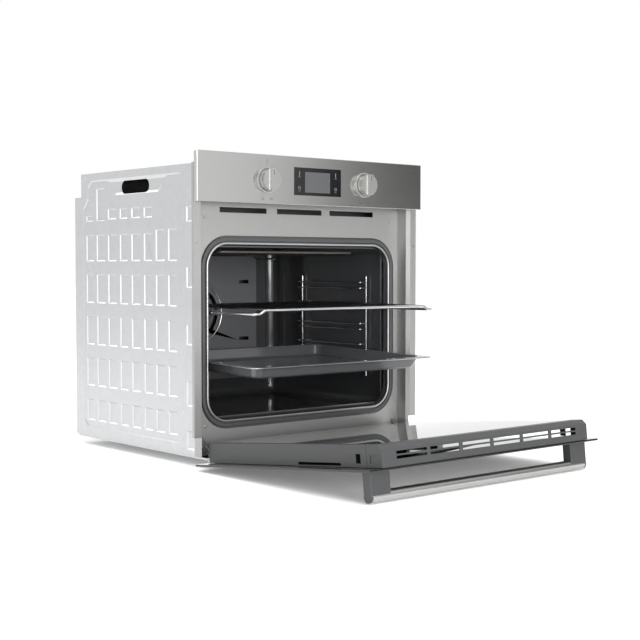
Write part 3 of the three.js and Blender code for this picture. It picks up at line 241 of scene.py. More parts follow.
def colour_prop(name, hex_colour, text):
    return bpy.props.FloatVectorProperty(name=name, description=text, subtype="COLOR", size=4, min=0.0,
                                         max=1.0, default=linear(hex_colour))


class OvenSizes(bpy.types.PropertyGroup):
    """Sizes that shape the details the frame leaves open."""
    field_depth: size_prop("Field depth", 1.6, "How far the middle of a side panel lies behind its border")
    rib_depth: size_prop("Rib depth", 1.9, "How far the ribs of the side panels are pressed in")
    rib_slope: size_prop("Rib slope", 2.4, "Width of the sloping edge round each pressed rib")
    wire: size_prop("Wire diameter", 3.2, "Diameter of the wire of the shelf supports")
    shelf_frame: size_prop("Shelf frame diameter", 5.4, "Diameter of the shelf's outer rod")
    shelf_wire: size_prop("Shelf wire diameter", 3.0, "Diameter of the shelf's cross wires")
    handle: size_prop("Handle diameter", 19.8, "Diameter of the handle's bar")


class OvenColours(bpy.types.PropertyGroup):
    """Colours of the visible finishes."""
    zinc: colour_prop("Zinc", "#c1c2c3", "Galvanised sides, top and back")
    fascia: colour_prop("Fascia", "#c2c2c0", "Brushed stainless steel of the fascia")
    frame: colour_prop("Front frame", "#a9a9a8", "Coated steel around the oven's mouth")
    enamel: colour_prop("Enamel", "#434446", "Vitreous enamel of the cavity")
    tray: colour_prop("Tray", "#505153", "Vitreous enamel of the baking tray")
    glass: colour_prop("Black glass", "#0b0b0d", "Glass of the door and display")
    plastic: colour_prop("Plastic", "#3a3b3c", "Moulded door parts and handle posts")
    knob: colour_prop("Knobs", "#b9b9b7", "Satin metal of the knobs")
    chrome: colour_prop("Chrome", "#d2d3d6", "Chromed wire")


def sizes():
    return bpy.context.scene.oven_sizes


def colours():
    return bpy.context.scene.oven_colours


# ---- materials ----

def add_node(tree, kind, settings=None, links=None):
    """Adds a node; settings are sockets or attributes by name, links are sockets fed by an output."""
    made = tree.nodes.new(kind)
    for key, value in (settings or {}).items():
        if isinstance(key, int) or key in made.inputs:
            made.inputs[key].default_value = value
        else:
            setattr(made, key, value)
    for key, source in (links or {}).items():
        tree.links.new(source, made.inputs[key])
    return made


def blank(name, settings):
    """A material with one Principled shader; gives the material, its tree and the shader."""
    made = bpy.data.materials.new(name)
    made.use_nodes = True
    tree = made.node_tree
    shader = tree.nodes["Principled BSDF"]
    for key, value in settings.items():
        shader.inputs[key].default_value = value
    return made, tree, shader


def place_on_object(tree, scale=(1, 1, 1)):
    where = add_node(tree, "ShaderNodeTexCoord").outputs["Object"]
    return add_node(tree, "ShaderNodeMapping", {"Scale": scale}, {"Vector": where}).outputs["Vector"]


def tinted(tree, shader, colour, factor, darkest, lightest):
    """Varies the base colour between two multiples of itself."""
    ramp = add_node(tree, "ShaderNodeMix", {"data_type": "RGBA"})
    ramp.inputs[6].default_value = (*[c * darkest for c in colour[:3]], 1)
    ramp.inputs[7].default_value = (*[min(1, c * lightest) for c in colour[:3]], 1)
    tree.links.new(factor, ramp.inputs[0])
    tree.links.new(ramp.outputs[2], shader.inputs["Base Color"])


def roughened(tree, shader, factor, low, high):
    spread = add_node(tree, "ShaderNodeMapRange", {"To Min": low, "To Max": high}, {"Value": factor})
    tree.links.new(spread.outputs["Result"], shader.inputs["Roughness"])


def bumped(tree, shader, height, distance_mm, strength=1.0):
    bump = add_node(tree, "ShaderNodeBump", {"Strength": strength, "Distance": distance_mm * MM},
                    {"Height": height})
    tree.links.new(bump.outputs["Normal"], shader.inputs["Normal"])


def noise(tree, vector, size_mm, detail=2.0, roughness=0.5):
    return add_node(tree, "ShaderNodeTexNoise",
                    {"Scale": 1000.0 / size_mm, "Detail": detail, "Roughness": roughness},
                    {"Vector": vector}).outputs["Fac"]


def galvanised_steel():
    """Hot-dip galvanised sheet: pale zinc with a faint crystal spangle and a soft sheen."""
    made, tree, shader = blank("galvanised_steel", {"Metallic": 0.9, "Roughness": 0.3})
    where = place_on_object(tree)
    spangle = add_node(tree, "ShaderNodeTexVoronoi", {"Scale": 1000.0 / 9.0, "feature": "F1"},
                       {"Vector": where}).outputs["Color"]
    grey = add_node(tree, "ShaderNodeRGBToBW", links={"Color": spangle}).outputs["Val"]
    tinted(tree, shader, colours().zinc, grey, 0.96, 1.02)
    roughened(tree, shader, noise(tree, where, 14.0), 0.27, 0.36)
    bumped(tree, shader, noise(tree, where, 2.5), 0.02)
    return made


def frame_steel():
    """Steel sheet with a dull clear lacquer: a fine grain and broad soft reflections."""
    made, tree, shader = blank("lacquered_steel", {"Metallic": 0.9, "Roughness": 0.4})
    where = place_on_object(tree)
    tinted(tree, shader, colours().frame, noise(tree, where, 3.0, 4.0, 0.7), 0.9, 1.08)
    roughened(tree, shader, noise(tree, where, 1.6, 3.0), 0.34, 0.5)
    bumped(tree, shader, noise(tree, where, 1.2, 3.0), 0.015)
    return made


def brushed_steel():
    """Stainless steel brushed along its length: fine lines that spread the light across them."""
    made, tree, shader = blank("brushed_stainless_steel", {"Metallic": 1.0, "Roughness": 0.16})
    # the real lines are about 0.05 mm apart; these are drawn at 0.6 mm so that they show
    where = place_on_object(tree, (0.02, 1.0, 1.0))
    lines = noise(tree, where, 0.6, 3.0, 0.6)
    tinted(tree, shader, colours().fascia, lines, 0.93, 1.05)
    roughened(tree, shader, lines, 0.13, 0.2)
    bumped(tree, shader, lines, 0.002)
    return made


def handle_steel():
    """Stainless tube, belt-ground along its length: a soft band of light runs along it."""
    made, tree, shader = blank("ground_stainless_tube", {"Metallic": 1.0, "Roughness": 0.3})
    where = place_on_object(tree, (0.02, 1.0, 1.0))
    lines = noise(tree, where, 0.8, 3.0, 0.6)
    tinted(tree, shader, linear("#bdbdbb"), lines, 0.93, 1.03)
    roughened(tree, shader, lines, 0.26, 0.36)
    bumped(tree, shader, lines, 0.003)
    return made


def satin_metal():
    """Satin-plated metal of the knobs, collars and rolled edges: an even, slightly blurred reflection. On the
    enamelled tray's rolled rim it is a painted highlight.
    """
    made, tree, shader = blank("satin_plated_zinc", {"Metallic": 0.9, "Roughness": 0.3})
    where = place_on_object(tree)
    tinted(tree, shader, colours().knob, noise(tree, where, 4.0), 0.95, 1.03)
    roughened(tree, shader, noise(tree, where, 1.5), 0.25, 0.36)
    bumped(tree, shader, noise(tree, where, 0.8), 0.006)
    return made


def vitreous_enamel(name, colour, low, high):
    """Glass enamel fused on steel: deep gloss, a slight orange peel and tiny pale flecks."""
    made, tree, shader = blank(name, {"Roughness": low, "IOR": 1.52, "Coat Weight": 0.6,
                                      "Coat Roughness": 0.06})
    where = place_on_object(tree)
    flecks = add_node(tree, "ShaderNodeTexVoronoi", {"Scale": 1000.0 / 3.2}, {"Vector": where})
    near = add_node(tree, "ShaderNodeMapRange", {"From Min": 0.05, "From Max": 0.1, "To Min": 1.0,
                                                 "To Max": 0.0}, {"Value": flecks.outputs["Distance"]})
    tinted(tree, shader, colour, near.outputs["Result"], 1.0, 2.4)
    roughened(tree, shader, noise(tree, where, 20.0), low, high)
    bumped(tree, shader, noise(tree, where, 7.0), 0.05)
    return made


def cavity_enamel():
    """Ground-coat enamel of the cavity: dark grey, with blurred mirror images."""
    return vitreous_enamel("cavity_enamel", colours().enamel, 0.14, 0.24)


def baffle_enamel():
    """The fan baffle's enamel: the same glaze, painted a lighter grey all over as a painted reflection of the light it
    catches.
    """
    return vitreous_enamel("baffle_enamel", linear("#6a6b6d"), 0.16, 0.28)


def tray_enamel():
    """The baking tray's enamel: a lighter grey glaze with a soft gloss."""
    return vitreous_enamel("tray_enamel", colours().tray, 0.16, 0.26)


def chromed_wire():
    """Bright chromium plate on drawn wire: nearly a mirror, with slight waviness."""
    made, tree, shader = blank("chromed_wire", {"Metallic": 1.0, "Roughness": 0.12})
    where = place_on_object(tree)
    tinted(tree, shader, colours().chrome, noise(tree, where, 10.0), 0.9, 1.0)
    roughened(tree, shader, noise(tree, where, 6.0), 0.09, 0.2)
    return made


def black_glass():
    """Tempered glass printed black on its back: an even, deep mirror-like black."""
    made, tree, shader = blank("black_glass", {"IOR": 1.52, "Coat Weight": 0.3, "Coat Roughness": 0.02})
    where = place_on_object(tree)
    tinted(tree, shader, colours().glass, noise(tree, where, 60.0), 0.9, 1.1)
    roughened(tree, shader, noise(tree, where, 40.0), 0.03, 0.06)
    return made


def coated_glass():
    """Heat-reflecting glass over a dark gap: it mirrors strongly when seen along its face."""
    made, tree, shader = blank("heat_reflecting_glass",
                               {"IOR": 2.1, "Coat Weight": 0.4, "Coat Roughness": 0.01,
                                "Specular Tint": (1, 1, 1, 1)})
    where = place_on_object(tree)
    tinted(tree, shader, linear("#1c1d1f"), noise(tree, where, 90.0), 0.9, 1.1)
    roughened(tree, shader, noise(tree, where, 70.0), 0.02, 0.045)
    return made


def moulded_plastic():
    """Glass-filled nylon, moulded with a fine spark-eroded grain: dark and nearly matt."""
    made, tree, shader = blank("moulded_nylon", {"IOR": 1.53})
    where = place_on_object(tree)
    tinted(tree, shader, colours().plastic, noise(tree, where, 12.0), 0.92, 1.08)
    roughened(tree, shader, noise(tree, where, 5.0), 0.36, 0.5)
    # the real grain is about 0.2 mm; it is drawn at 0.9 mm so that it shows
    bumped(tree, shader, noise(tree, where, 0.9, 1.0), 0.03)
    return made


def silicone_seal():
    """Extruded silicone over a glass-fibre core: dark, slightly waxy, faintly ribbed."""
    made, tree, shader = blank("silicone_seal", {"IOR": 1.41, "Roughness": 0.35})
    where = place_on_object(tree)
    tinted(tree, shader, linear("#4c4d4e"), noise(tree, where, 6.0), 0.85, 1.1)
    roughened(tree, shader, noise(tree, where, 3.0), 0.25, 0.42)
    bumped(tree, shader, noise(tree, where, 1.5), 0.03)
    return made


def heated_sheath():
    """Stainless heating tube, browned by heat: a dull dark metal with uneven tint."""
    made, tree, shader = blank("heated_sheath", {"Metallic": 0.8, "Roughness": 0.4})
    where = place_on_object(tree)
    tinted(tree, shader, linear("#6b6662"), noise(tree, where, 25.0, 3.0), 0.7, 1.15)
    roughened(tree, shader, noise(tree, where, 4.0), 0.3, 0.5)
    return made


def plain_steel():
    """Cold-rolled steel with thin oil film: darker than zinc, with a soft directional sheen."""
    made, tree, shader = blank("cold_rolled_steel", {"Metallic": 0.95, "Roughness": 0.3})
    where = place_on_object(tree, (1.0, 0.1, 1.0))
    tinted(tree, shader, linear("#b4b5b7"), noise(tree, where, 2.0, 3.0), 0.85, 1.05)
    roughened(tree, shader, noise(tree, where, 3.0), 0.24, 0.38)
    return made


def mineral_fibre():
    """Needled mineral wool: matted pale fibres with no gloss at all."""
    made, tree, shader = blank("mineral_fibre", {"Roughness": 0.95, "Sheen Weight": 0.3})
    where = place_on_object(tree)
    mat = noise(tree, where, 3.5, 6.0, 0.7)
    tinted(tree, shader, linear("#cfc7ae"), mat, 0.75, 1.1)
    bumped(tree, shader, mat, 1.0)
    return made


def circuit_board():
    """Glass-epoxy board under green solder mask: a dull green with faint tracks."""
    made, tree, shader = blank("circuit_board", {"IOR": 1.5, "Roughness": 0.4})
    where = place_on_object(tree)
    tracks = add_node(tree, "ShaderNodeTexBrick",
                      {"Scale": 1000.0 / 8.0, "Mortar Size": 0.04, "Color1": linear("#1f5a38"),
                       "Color2": linear("#235f3c"), "Mortar": linear("#2f7a50")}, {"Vector": where})
    tree.links.new(tracks.outputs["Color"], shader.inputs["Base Color"])
    return made


def display_screen():
    """Unlit liquid-crystal display: an even mid grey under a polarising film."""
    made, tree, shader = blank("display_film", {"IOR": 1.5, "Coat Weight": 0.6, "Coat Roughness": 0.05})
    where = place_on_object(tree)
    tinted(tree, shader, linear("#515253"), noise(tree, where, 50.0), 0.92, 1.06)
    roughened(tree, shader, noise(tree, where, 30.0), 0.22, 0.3)
    return made


def printed_mark():
    """Screen-printed ink: flat, dark and slightly worn."""
    made, tree, shader = blank("printed_ink", {"Roughness": 0.6})
    tinted(tree, shader, linear("#3c3d3e"), noise(tree, place_on_object(tree), 1.5), 0.8, 1.2)
    return made


def pale_mark():
    """Screen-printed symbols behind glass: a dim grey."""
    made, tree, shader = blank("pale_ink", {"Roughness": 0.5})
    tinted(tree, shader, linear("#7b7c7e"), noise(tree, place_on_object(tree), 1.5), 0.85, 1.1)
    return made


def lamp_glass():
    """Pressed borosilicate glass: clear, with the ripple of the mould."""
    made, tree, shader = blank("lamp_glass", {"IOR": 1.47, "Roughness": 0.05, "Transmission Weight": 0.9})
    where = place_on_object(tree)
    tinted(tree, shader, linear("#e8ecec"), noise(tree, where, 8.0), 0.95, 1.0)
    bumped(tree, shader, noise(tree, where, 4.0), 0.2)
    return made


FINISHES = {}


def finish(name):
    """The material made by the function of that name, made once."""
    if name not in FINISHES:
        FINISHES[name] = globals()[name]()
    return FINISHES[name]


# ---- modelling ----

def leave_edit():
    if bpy.context.object and bpy.context.object.mode != "OBJECT":
        bpy.ops.object.mode_set(mode="OBJECT")


def select(*objects):
    leave_edit()
    bpy.ops.object.select_all(action="DESELECT")
    for item in objects:
        item.select_set(True)
    if objects:
        bpy.context.view_layer.objects.active = objects[0]


def settle(piece):
    """Applies the object's place, turn and size to its mesh."""
    select(piece)
    bpy.ops.object.transform_apply(location=True, rotation=True, scale=True)
    return piece


def named(name):
    piece = bpy.context.object
    piece.name = name
    piece.data.name = name
    return settle(piece)


def block(name, x, y, z):
    """A box from its extents in millimetres."""
    select()
    middle = [sum(pair) / 2 * MM for pair in (x, y, z)]
    extent = [abs(pair[1] - pair[0]) * MM for pair in (x, y, z)]
    bpy.ops.mesh.primitive_cube_add(size=1, location=middle, scale=extent)
    return named(name)


def rod(name, start, end, radius, sides=48):
    """A round bar between two points in millimetres."""
    select()
    a, b = Vector(start) * MM, Vector(end) * MM
    turn = (b - a).to_track_quat("Z", "Y").to_euler()
    bpy.ops.mesh.primitive_cylinder_add(vertices=sides, radius=radius * MM, depth=(b - a).length,
                                        location=(a + b) / 2, rotation=turn)
    return named(name)


def with_modifier(piece, kind, **settings):
    select(piece)
    made = piece.modifiers.new(kind.title(), kind)
    for key, value in settings.items():
        setattr(made, key, value)
    bpy.ops.object.modifier_apply(modifier=made.name)
    return piece


def rounded(piece, width_mm, segments=2, angle=35):
    return with_modifier(piece, "BEVEL", width=width_mm * MM, segments=segments, limit_method="ANGLE",
                         angle_limit=math.radians(angle), harden_normals=False, use_clamp_overlap=True)


def boolean(piece, tool, operation):
    with_modifier(piece, "BOOLEAN", operation=operation, object=tool, solver="EXACT")
    bpy.data.objects.remove(tool)
    return piece


def cut(piece, *tools):
    for tool in tools:
        boolean(piece, tool, "DIFFERENCE")
    return piece


def unite(piece, *others):
    for other in others:
        boolean(piece, other, "UNION")
    return piece


def group(name, *pieces):
    """Several meshes as one object."""
    select(*pieces)
    bpy.ops.object.join()
    return named(name)


def pick_faces(piece, wanted):
    """Selects the faces whose centre (in millimetres) and normal pass the test, in edit mode."""
    select(piece)
    bpy.ops.object.mode_set(mode="EDIT")
    bpy.ops.mesh.select_mode(type="FACE")
    bpy.ops.mesh.select_all(action="DESELECT")
    bpy.ops.object.mode_set(mode="OBJECT")
    for face in piece.data.polygons:
        face.select = bool(wanted(face.center / MM, face.normal))
    bpy.ops.object.mode_set(mode="EDIT")


def pick_edges(piece, wanted):
    """Selects the edges whose two ends (in millimetres) pass the test, in edit mode."""
    select(piece)
    bpy.ops.object.mode_set(mode="EDIT")
    bpy.ops.mesh.select_mode(type="EDGE")
    bpy.ops.mesh.select_all(action="DESELECT")
    bpy.ops.object.mode_set(mode="OBJECT")
    points = piece.data.vertices
    for edge in piece.data.edges:
        a, b = (points[i].co / MM for i in edge.vertices)
        edge.select = bool(wanted(a, b))
    bpy.ops.object.mode_set(mode="EDIT")


def round_corners(piece, along, radius_mm, segments=8):
    """Rounds the edges of a box that run along one axis (0, 1 or 2)."""
    def runs(a, b):
        step = b - a
        return all(abs(step[i]) < 0.01 for i in range(3) if i != along)
    pick_edges(piece, runs)
    bpy.ops.mesh.bevel(offset=radius_mm * MM, segments=segments, affect="EDGES")
    leave_edit()
    return piece


def slab(name, x, y, z, along, radius_mm, segments=8):
    """A box with the corners of its outline rounded."""
    return round_corners(block(name, x, y, z), along, radius_mm, segments)


def bent(points, bend_mm, steps=5):
    """A line through corners, each rounded off."""
    line = []
    corners = [Vector(p) for p in points]
    for i, corner in enumerate(corners):
        if i in (0, len(corners) - 1):
            line.append(corner)
            continue
        back = (corners[i - 1] - corner)
        on = (corners[i + 1] - corner)
        half = back.angle(on) / 2
        reach = min(bend_mm / math.tan(half), 0.48 * back.length, 0.48 * on.length)
        start = corner + back.normalized() * reach
        end = corner + on.normalized() * reach
        for k in range(steps + 1):
            t = k / steps
            line.append(start.lerp(corner, t).lerp(corner.lerp(end, t), t))
    return line


def wire(name, points, radius_mm, bend_mm=8.0, steps=5, sides=3):
    """A wire along a bent line in millimetres, as a closed mesh."""
    select()
    curve = bpy.data.curves.new(name, "CURVE")
    curve.dimensions = "3D"
    curve.bevel_depth = radius_mm * MM
    curve.bevel_resolution = sides
    curve.use_fill_caps = True
    line = bent(points, bend_mm, steps) if len(points) > 2 else [Vector(p) for p in points]
    spline = curve.splines.new("POLY")
    spline.points.add(len(line) - 1)
    for point, place in zip(spline.points, line):
        point.co = (*(place * MM), 1)
    piece = bpy.data.objects.new(name, curve)
    bpy.context.collection.objects.link(piece)
    select(piece)
    bpy.ops.object.convert(target="MESH")
    return named(name)


def copy_of(piece, name):
    select(piece)
    bpy.ops.object.duplicate(linked=False)
    return named(name)


def copy_at(piece, name, offset):
    """A copy with its own mesh, moved by an offset in millimetres."""
    select(piece)
    bpy.ops.object.duplicate(linked=False)
    bpy.context.object.location = Vector(offset) * MM
    return named(name)


def mirrored(piece, name):
    """A copy reflected in the plane X = 0, with its faces still pointing outwards."""
    twin = copy_of(piece, name)
    twin.scale.x = -1
    settle(twin)
    select(twin)
    bpy.ops.object.mode_set(mode="EDIT")
    bpy.ops.mesh.select_all(action="SELECT")
    bpy.ops.mesh.flip_normals()
    leave_edit()
    return twin


def refined(node, edge_mm=0.5, segments=2, angle=35):
    """The CAD node's shape as clean faces with its edges rounded."""
    source = frame["nodes"][node]
    select()
    mesh = source.data.copy()
    piece = bpy.data.objects.new(f"{node}_finished", mesh)
    bpy.context.collection.objects.link(piece)
    piece.matrix_world = source.matrix_world
    mesh.materials.clear()
    select(piece)
    bpy.ops.object.mode_set(mode="EDIT")
    bpy.ops.mesh.select_all(action="SELECT")
    bpy.ops.mesh.remove_doubles(threshold=0.00002)
    bpy.ops.mesh.dissolve_limited(angle_limit=math.radians(1.0))
    leave_edit()
    settle(piece)
    if edge_mm:
        rounded(piece, edge_mm, segments, angle)
    return piece


def swung_open(piece):
    """Turns a door piece that was drawn shut to the open stop."""
    turn = Matrix.Rotation(DOOR_OPEN, 4, "X")
    piece.matrix_world = Matrix.Translation(HINGE_LINE) @ turn @ Matrix.Translation(-HINGE_LINE)
    return settle(piece)


# the record slot of each finish that a piece with no CAD node wears
SLOT_OF = {"galvanised_steel": "zinc_sheet", "satin_metal": "satin_metal", "chromed_wire": "chromed_wire",
           "plain_steel": "plain_steel", "printed_mark": "black_plastic", "pale_mark": "screen"}


def done(piece, look, body, *nodes, smooth=32):
    """Gives a piece its finish, its body and the CAD nodes it stands for."""
    select(piece)
    piece.data.materials.clear()
    piece.data.materials.append(finish(look))
    bpy.ops.object.shade_smooth_by_angle(angle=math.radians(smooth))
    if smooth < 60:
        with_modifier(piece, "WEIGHTED_NORMAL", keep_sharp=True)
    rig.ride(piece, body)
    if nodes:
        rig.replaces(piece, *nodes)
    else:
        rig.slot(piece, SLOT_OF[look])
    return piece


def refine_all(body, looks, edge_mm=0.5):
    """Finishes CAD nodes that need no new shape; looks pairs each node with its finish."""
    for node, look in looks.items():
        done(refined(node, edge_mm), look, body, node)


def screw_heads(name, places, outward, radius_mm=4.0, look="galvanised_steel", body="oven"):
    """Pan-head screws with cross recesses, each facing along the outward axis."""
    axis, base = Vector(outward), Vector(places[0])
    head = rod(f"{name}_0", base - axis * 0.2, base + axis * radius_mm * 0.45, radius_mm, 20)
    rounded(head, radius_mm * 0.3, 3)
    side = axis.orthogonal().normalized()
    top = base + axis * radius_mm * 0.5
    for arm in (side, axis.cross(side)):
        reach = arm * radius_mm * 0.55
        cut(head, rod("recess", top - reach, top + reach, radius_mm * 0.16, 6))
    others = [copy_at(head, f"{name}_{i}", Vector(place) - base) for i, place in enumerate(places) if i]
    return done(group(name, head, *others), look, body)


# ---- cabinet ----

RIB_COLUMNS = [(410.9, 441.5), (364.2, 398.3), (318.8, 351.6), (274.5, 304.0), (227.1, 258.6),
               (181.4, 211.6), (136.5, 167.7), (93.1, 123.2)]
RIB_ROWS = [(39.6, 85.7), (115.0, 176.5), (204.7, 267.0), (295.3, 357.5), (385.5, 442.0)]
TOP_RIBS = {0: (472.0, 484.0), 1: (472.0, 541.0), 2: (474.0, 496.0), 3: (474.0, 496.0),
            4: (474.0, 496.0), 5: (474.0, 496.0)}
FRONT_RIBS = [(333.0, 374.0), (221.0, 260.5), (101.0, 150.0), (16.0, 52.0), (462.0, 492.0)]
FRONT_RIB_Y = (33.0, 57.0)
LONG_RIB_TOP = 449.0  # the two front columns reach higher in the top row
FIELD = [(452, 38), (438, 24), (80, 24), (66, 38), (66, 545), (80, 559), (418, 559), (432, 545), (432, 520),
         (452, 500)]
SLOT_PANEL = [(351.7, 554.5), (314.9, 511.5), (174.6, 508.2), (148.3, 555.0)]
HAND_SLOT_Y, HAND_SLOT_Z = (193.5, 298.6), (525.4, 552.9)
STEP_Y, STEP_Z = 459.5, 524.7


def rib_boxes():
    for column, y in enumerate(RIB_COLUMNS):
        for row, z in enumerate(RIB_ROWS):
            top = LONG_RIB_TOP if row == 4 and column > 5 else z[1]
            yield y, (z[0], top)
        if column in TOP_RIBS:
            yield y, TOP_RIBS[column]
    for z in FRONT_RIBS:
        yield FRONT_RIB_Y, z


def slice_sheet(piece, y=None, z=None):
    """Cuts a line right across the sheet at one Y or one Z."""
    select(piece)
    bpy.ops.object.mode_set(mode="EDIT")
    bpy.ops.mesh.select_all(action="SELECT")
    place = (0, (y or 0) * MM, (z or 0) * MM)
    across = (0, 1, 0) if z is None else (0, 0, 1)
    bpy.ops.mesh.bisect(plane_co=place, plane_no=across)
    leave_edit()


def press_in(piece, wanted, slope_mm, depth_mm):
    """Presses a patch of the sheet towards the oven, with a sloping edge."""
    pick_faces(piece, wanted)
    bpy.ops.mesh.inset(thickness=slope_mm * MM, depth=0, use_boundary=True, use_even_offset=True)
    bpy.ops.transform.translate(value=(-depth_mm * MM, 0, 0))
    leave_edit()


def side_sheet():
    """The right side as one pressed sheet, folded along its top, back and foot."""
    x = SIDE_X[1]
    select()
    middle = (x * MM, sum(SIDE_Y) / 2 * MM, sum(SIDE_Z) / 2 * MM)
    bpy.ops.mesh.primitive_plane_add(size=1, location=middle, rotation=(0, math.pi / 2, 0))
    piece = bpy.context.object
    piece.scale = ((SIDE_Z[1] - SIDE_Z[0]) * MM, (SIDE_Y[1] - SIDE_Y[0]) * MM, 1)
    named("side_sheet")
    slice_sheet(piece, y=STEP_Y)
    slice_sheet(piece, z=STEP_Z)
    pick_faces(piece, lambda c, n: c.y > STEP_Y and c.z > STEP_Z)
    bpy.ops.mesh.delete(type="FACE")
    leave_edit()
    press_outline(piece, FIELD, 3.0, sizes().field_depth / MM)
    press_outline(piece, SLOT_PANEL, 4.0, 2.0)
    for y in sorted({v for y, _ in rib_boxes() for v in y}):
        slice_sheet(piece, y=y)
    for z in sorted({v for _, z in rib_boxes() for v in z}):
        slice_sheet(piece, z=z)
    boxes = list(rib_boxes())

    def in_rib(c, n):
        return any(y[0] < c.y < y[1] and z[0] < c.z < z[1] for y, z in boxes)
    press_in(piece, in_rib, sizes().rib_slope / MM, sizes().rib_depth / MM)
    fold_edges(piece, x)
    with_modifier(piece, "BEVEL", width=1.6 * MM, segments=3, limit_method="ANGLE",
                  angle_limit=math.radians(60))
    with_modifier(piece, "SOLIDIFY", thickness=SHEET * MM, offset=-1)
    radius = (HAND_SLOT_Z[1] - HAND_SLOT_Z[0]) / 2 - 0.5
    cut(piece, slab("hand_slot", (x - 12, x + 12), HAND_SLOT_Y, HAND_SLOT_Z, 0, radius, 8))
    return piece


def press_outline(piece, outline, slope_mm, depth_mm):
    """Presses in everything inside an outline of (y, z) corners."""
    for (y0, z0), (y1, z1) in zip(outline, outline[1:] + outline[:1]):
        if y0 == y1:
            slice_sheet(piece, y=y0)
        elif z0 == z1:
            slice_sheet(piece, z=z0)
    for (y0, z0), (y1, z1) in zip(outline, outline[1:] + outline[:1]):
        if y0 != y1 and z0 != z1:
            pick_crossed(piece, sorted((y0, y1)), sorted((z0, z1)))
            bpy.ops.mesh.bisect(plane_co=(0, y0 * MM, z0 * MM), plane_no=(0, z1 - z0, y0 - y1))
            leave_edit()

    def inside(c, n):
        sides = zip(outline, outline[1:] + outline[:1])
        hits = [y0 + (c.z - z0) / (z1 - z0) * (y1 - y0) > c.y
                for (y0, z0), (y1, z1) in sides if (z0 > c.z) != (z1 > c.z)]
        return sum(hits) % 2 == 1
    press_in(piece, inside, slope_mm, depth_mm)


def pick_crossed(piece, y, z):
    """Selects the faces that reach into a patch of the sheet, in edit mode."""
    select(piece)
    bpy.ops.object.mode_set(mode="EDIT")
    bpy.ops.mesh.select_mode(type="FACE")
    bpy.ops.mesh.select_all(action="DESELECT")
    bpy.ops.object.mode_set(mode="OBJECT")
    points = piece.data.vertices
    for face in piece.data.polygons:
        ys = [points[i].co.y / MM for i in face.vertices]
        zs = [points[i].co.z / MM for i in face.vertices]
        face.select = (min(ys) < y[1] - 0.01 and max(ys) > y[0] + 0.01
                       and min(zs) < z[1] - 0.01 and max(zs) > z[0] + 0.01)
    bpy.ops.object.mode_set(mode="EDIT")


def fold_edges(piece, x):
    """Folds the sheet's outline inwards, except along its front."""
    def on_outline(a, b):
        if abs(a.x - x) > 0.05 or abs(b.x - x) > 0.05:
            return False

        def both(axis, value):
            return abs(a[axis] - value) < 0.05 and abs(b[axis] - value) < 0.05
        back = both(1, SIDE_Y[1]) or (both(1, STEP_Y) and min(a.z, b.z) > STEP_Z - 0.1)
        step = both(2, STEP_Z) and min(a.y, b.y) > STEP_Y - 0.1
        return both(2, SIDE_Z[0]) or both(2, SIDE_Z[1]) or back or step
    pick_edges(piece, on_outline)
    inward = SIDE_X[0] - SIDE_X[1] + SHEET
    bpy.ops.mesh.extrude_region_move(TRANSFORM_OT_translate={"value": (inward * MM, 0, 0)})
    leave_edit()


class OVEN_OT_side_panels(bpy.types.Operator):
    """Both pressed side panels with their screws"""
    bl_idname = "oven.side_panels"
    bl_label = "Side panels"

    def execute(self, context):
        right = side_sheet()
        left = mirrored(right, "side_panel_left_pressed")
        right.name = "side_panel_right_pressed"
        done(right, "galvanised_steel", "oven", "side_panel_right", smooth=20)
        done(left, "galvanised_steel", "oven", "side_panel_left", smooth=20)
        heads = [(446.5, 566.0), (63.0, 567.0), (317.0, 567.0), (425.0, 14.0), (266.0, 14.0), (74.5, 14.0)]
        for side, name in ((1, "right"), (-1, "left")):
            at = [(side * (SIDE_X[1] - 0.9), y, z) for y, z in heads]
            screw_heads(f"side_screws_{name}", at, (side, 0, 0), 3.6)
        return {"FINISHED"}


class OVEN_OT_cabinet(bpy.types.Operator):
    """Top cover, rear wall, back cover and base pan"""
    bl_idname = "oven.cabinet"
    bl_label = "Cabinet sheets"

    def execute(self, context):
        refine_all("oven", {"top_cover": "galvanised_steel", "rear_wall": "galvanised_steel",
                            "back_cover": "galvanised_steel", "base_pan": "galvanised_steel",
                            "terminal_block": "moulded_plastic"}, 0.8)
        rear_x, rear_y, rear_z = span("rear_wall")
        corners = [(x, rear_y[1] - 0.1, z) for x in (rear_x[0] + 12, rear_x[1] - 12)
                   for z in (rear_z[0] + 30, rear_z[0] + 240, rear_z[0] + 450)]
        screw_heads("back_screws", corners, (0, 1, 0))
        top_z = span("top_cover")[2][1]
        top = [(x, y, top_z - 0.1) for x in (-235, 0, 235) for y in (45, 440)]
        screw_heads("top_screws", top, (0, 0, 1))
        return {"FINISHED"}


# ---- front frame, mouth and cavity ----

class OVEN_OT_front_frame(bpy.types.Operator):
    """Front frame with its screws, and the door hinges' fixed parts"""
    bl_idname = "oven.front_frame"
    bl_label = "Front frame"

    def execute(self, context):
        refine_all("oven", {"front_frame": "frame_steel"}, 0)
        refine_all("oven", {"hinge_receiver_left": "galvanised_steel",
                            "hinge_receiver_right": "galvanised_steel",
                            "hinge_arm_left": "plain_steel", "hinge_arm_right": "plain_steel"}, 0.5)
        plate_y = 25.0
        corners = [(x, plate_y + 0.1, z) for x in (-248, 248) for z in (62.0, 470.0)]
        screw_heads("frame_screws", corners, (0, -1, 0), 3.4, "plain_steel")
        return {"FINISHED"}


def mouth_ring(name, inner, outer, y, edge_mm):
    """A rounded rectangular ring around the mouth; inner and outer are growths in millimetres."""
    def plate(label, grow, depth):
        x = (-MOUTH_HALF_W - grow, MOUTH_HALF_W + grow)
        z = (MOUTH_Z[0] - grow, MOUTH_Z[1] + grow)
        return slab(label, x, depth, z, 1, MOUTH_R + grow, 16)
    ring = cut(plate(name, outer, y), plate("bore", inner, (y[0] - 5, y[1] + 5)))
    return rounded(ring, edge_mm, 4, 50) if edge_mm else ring


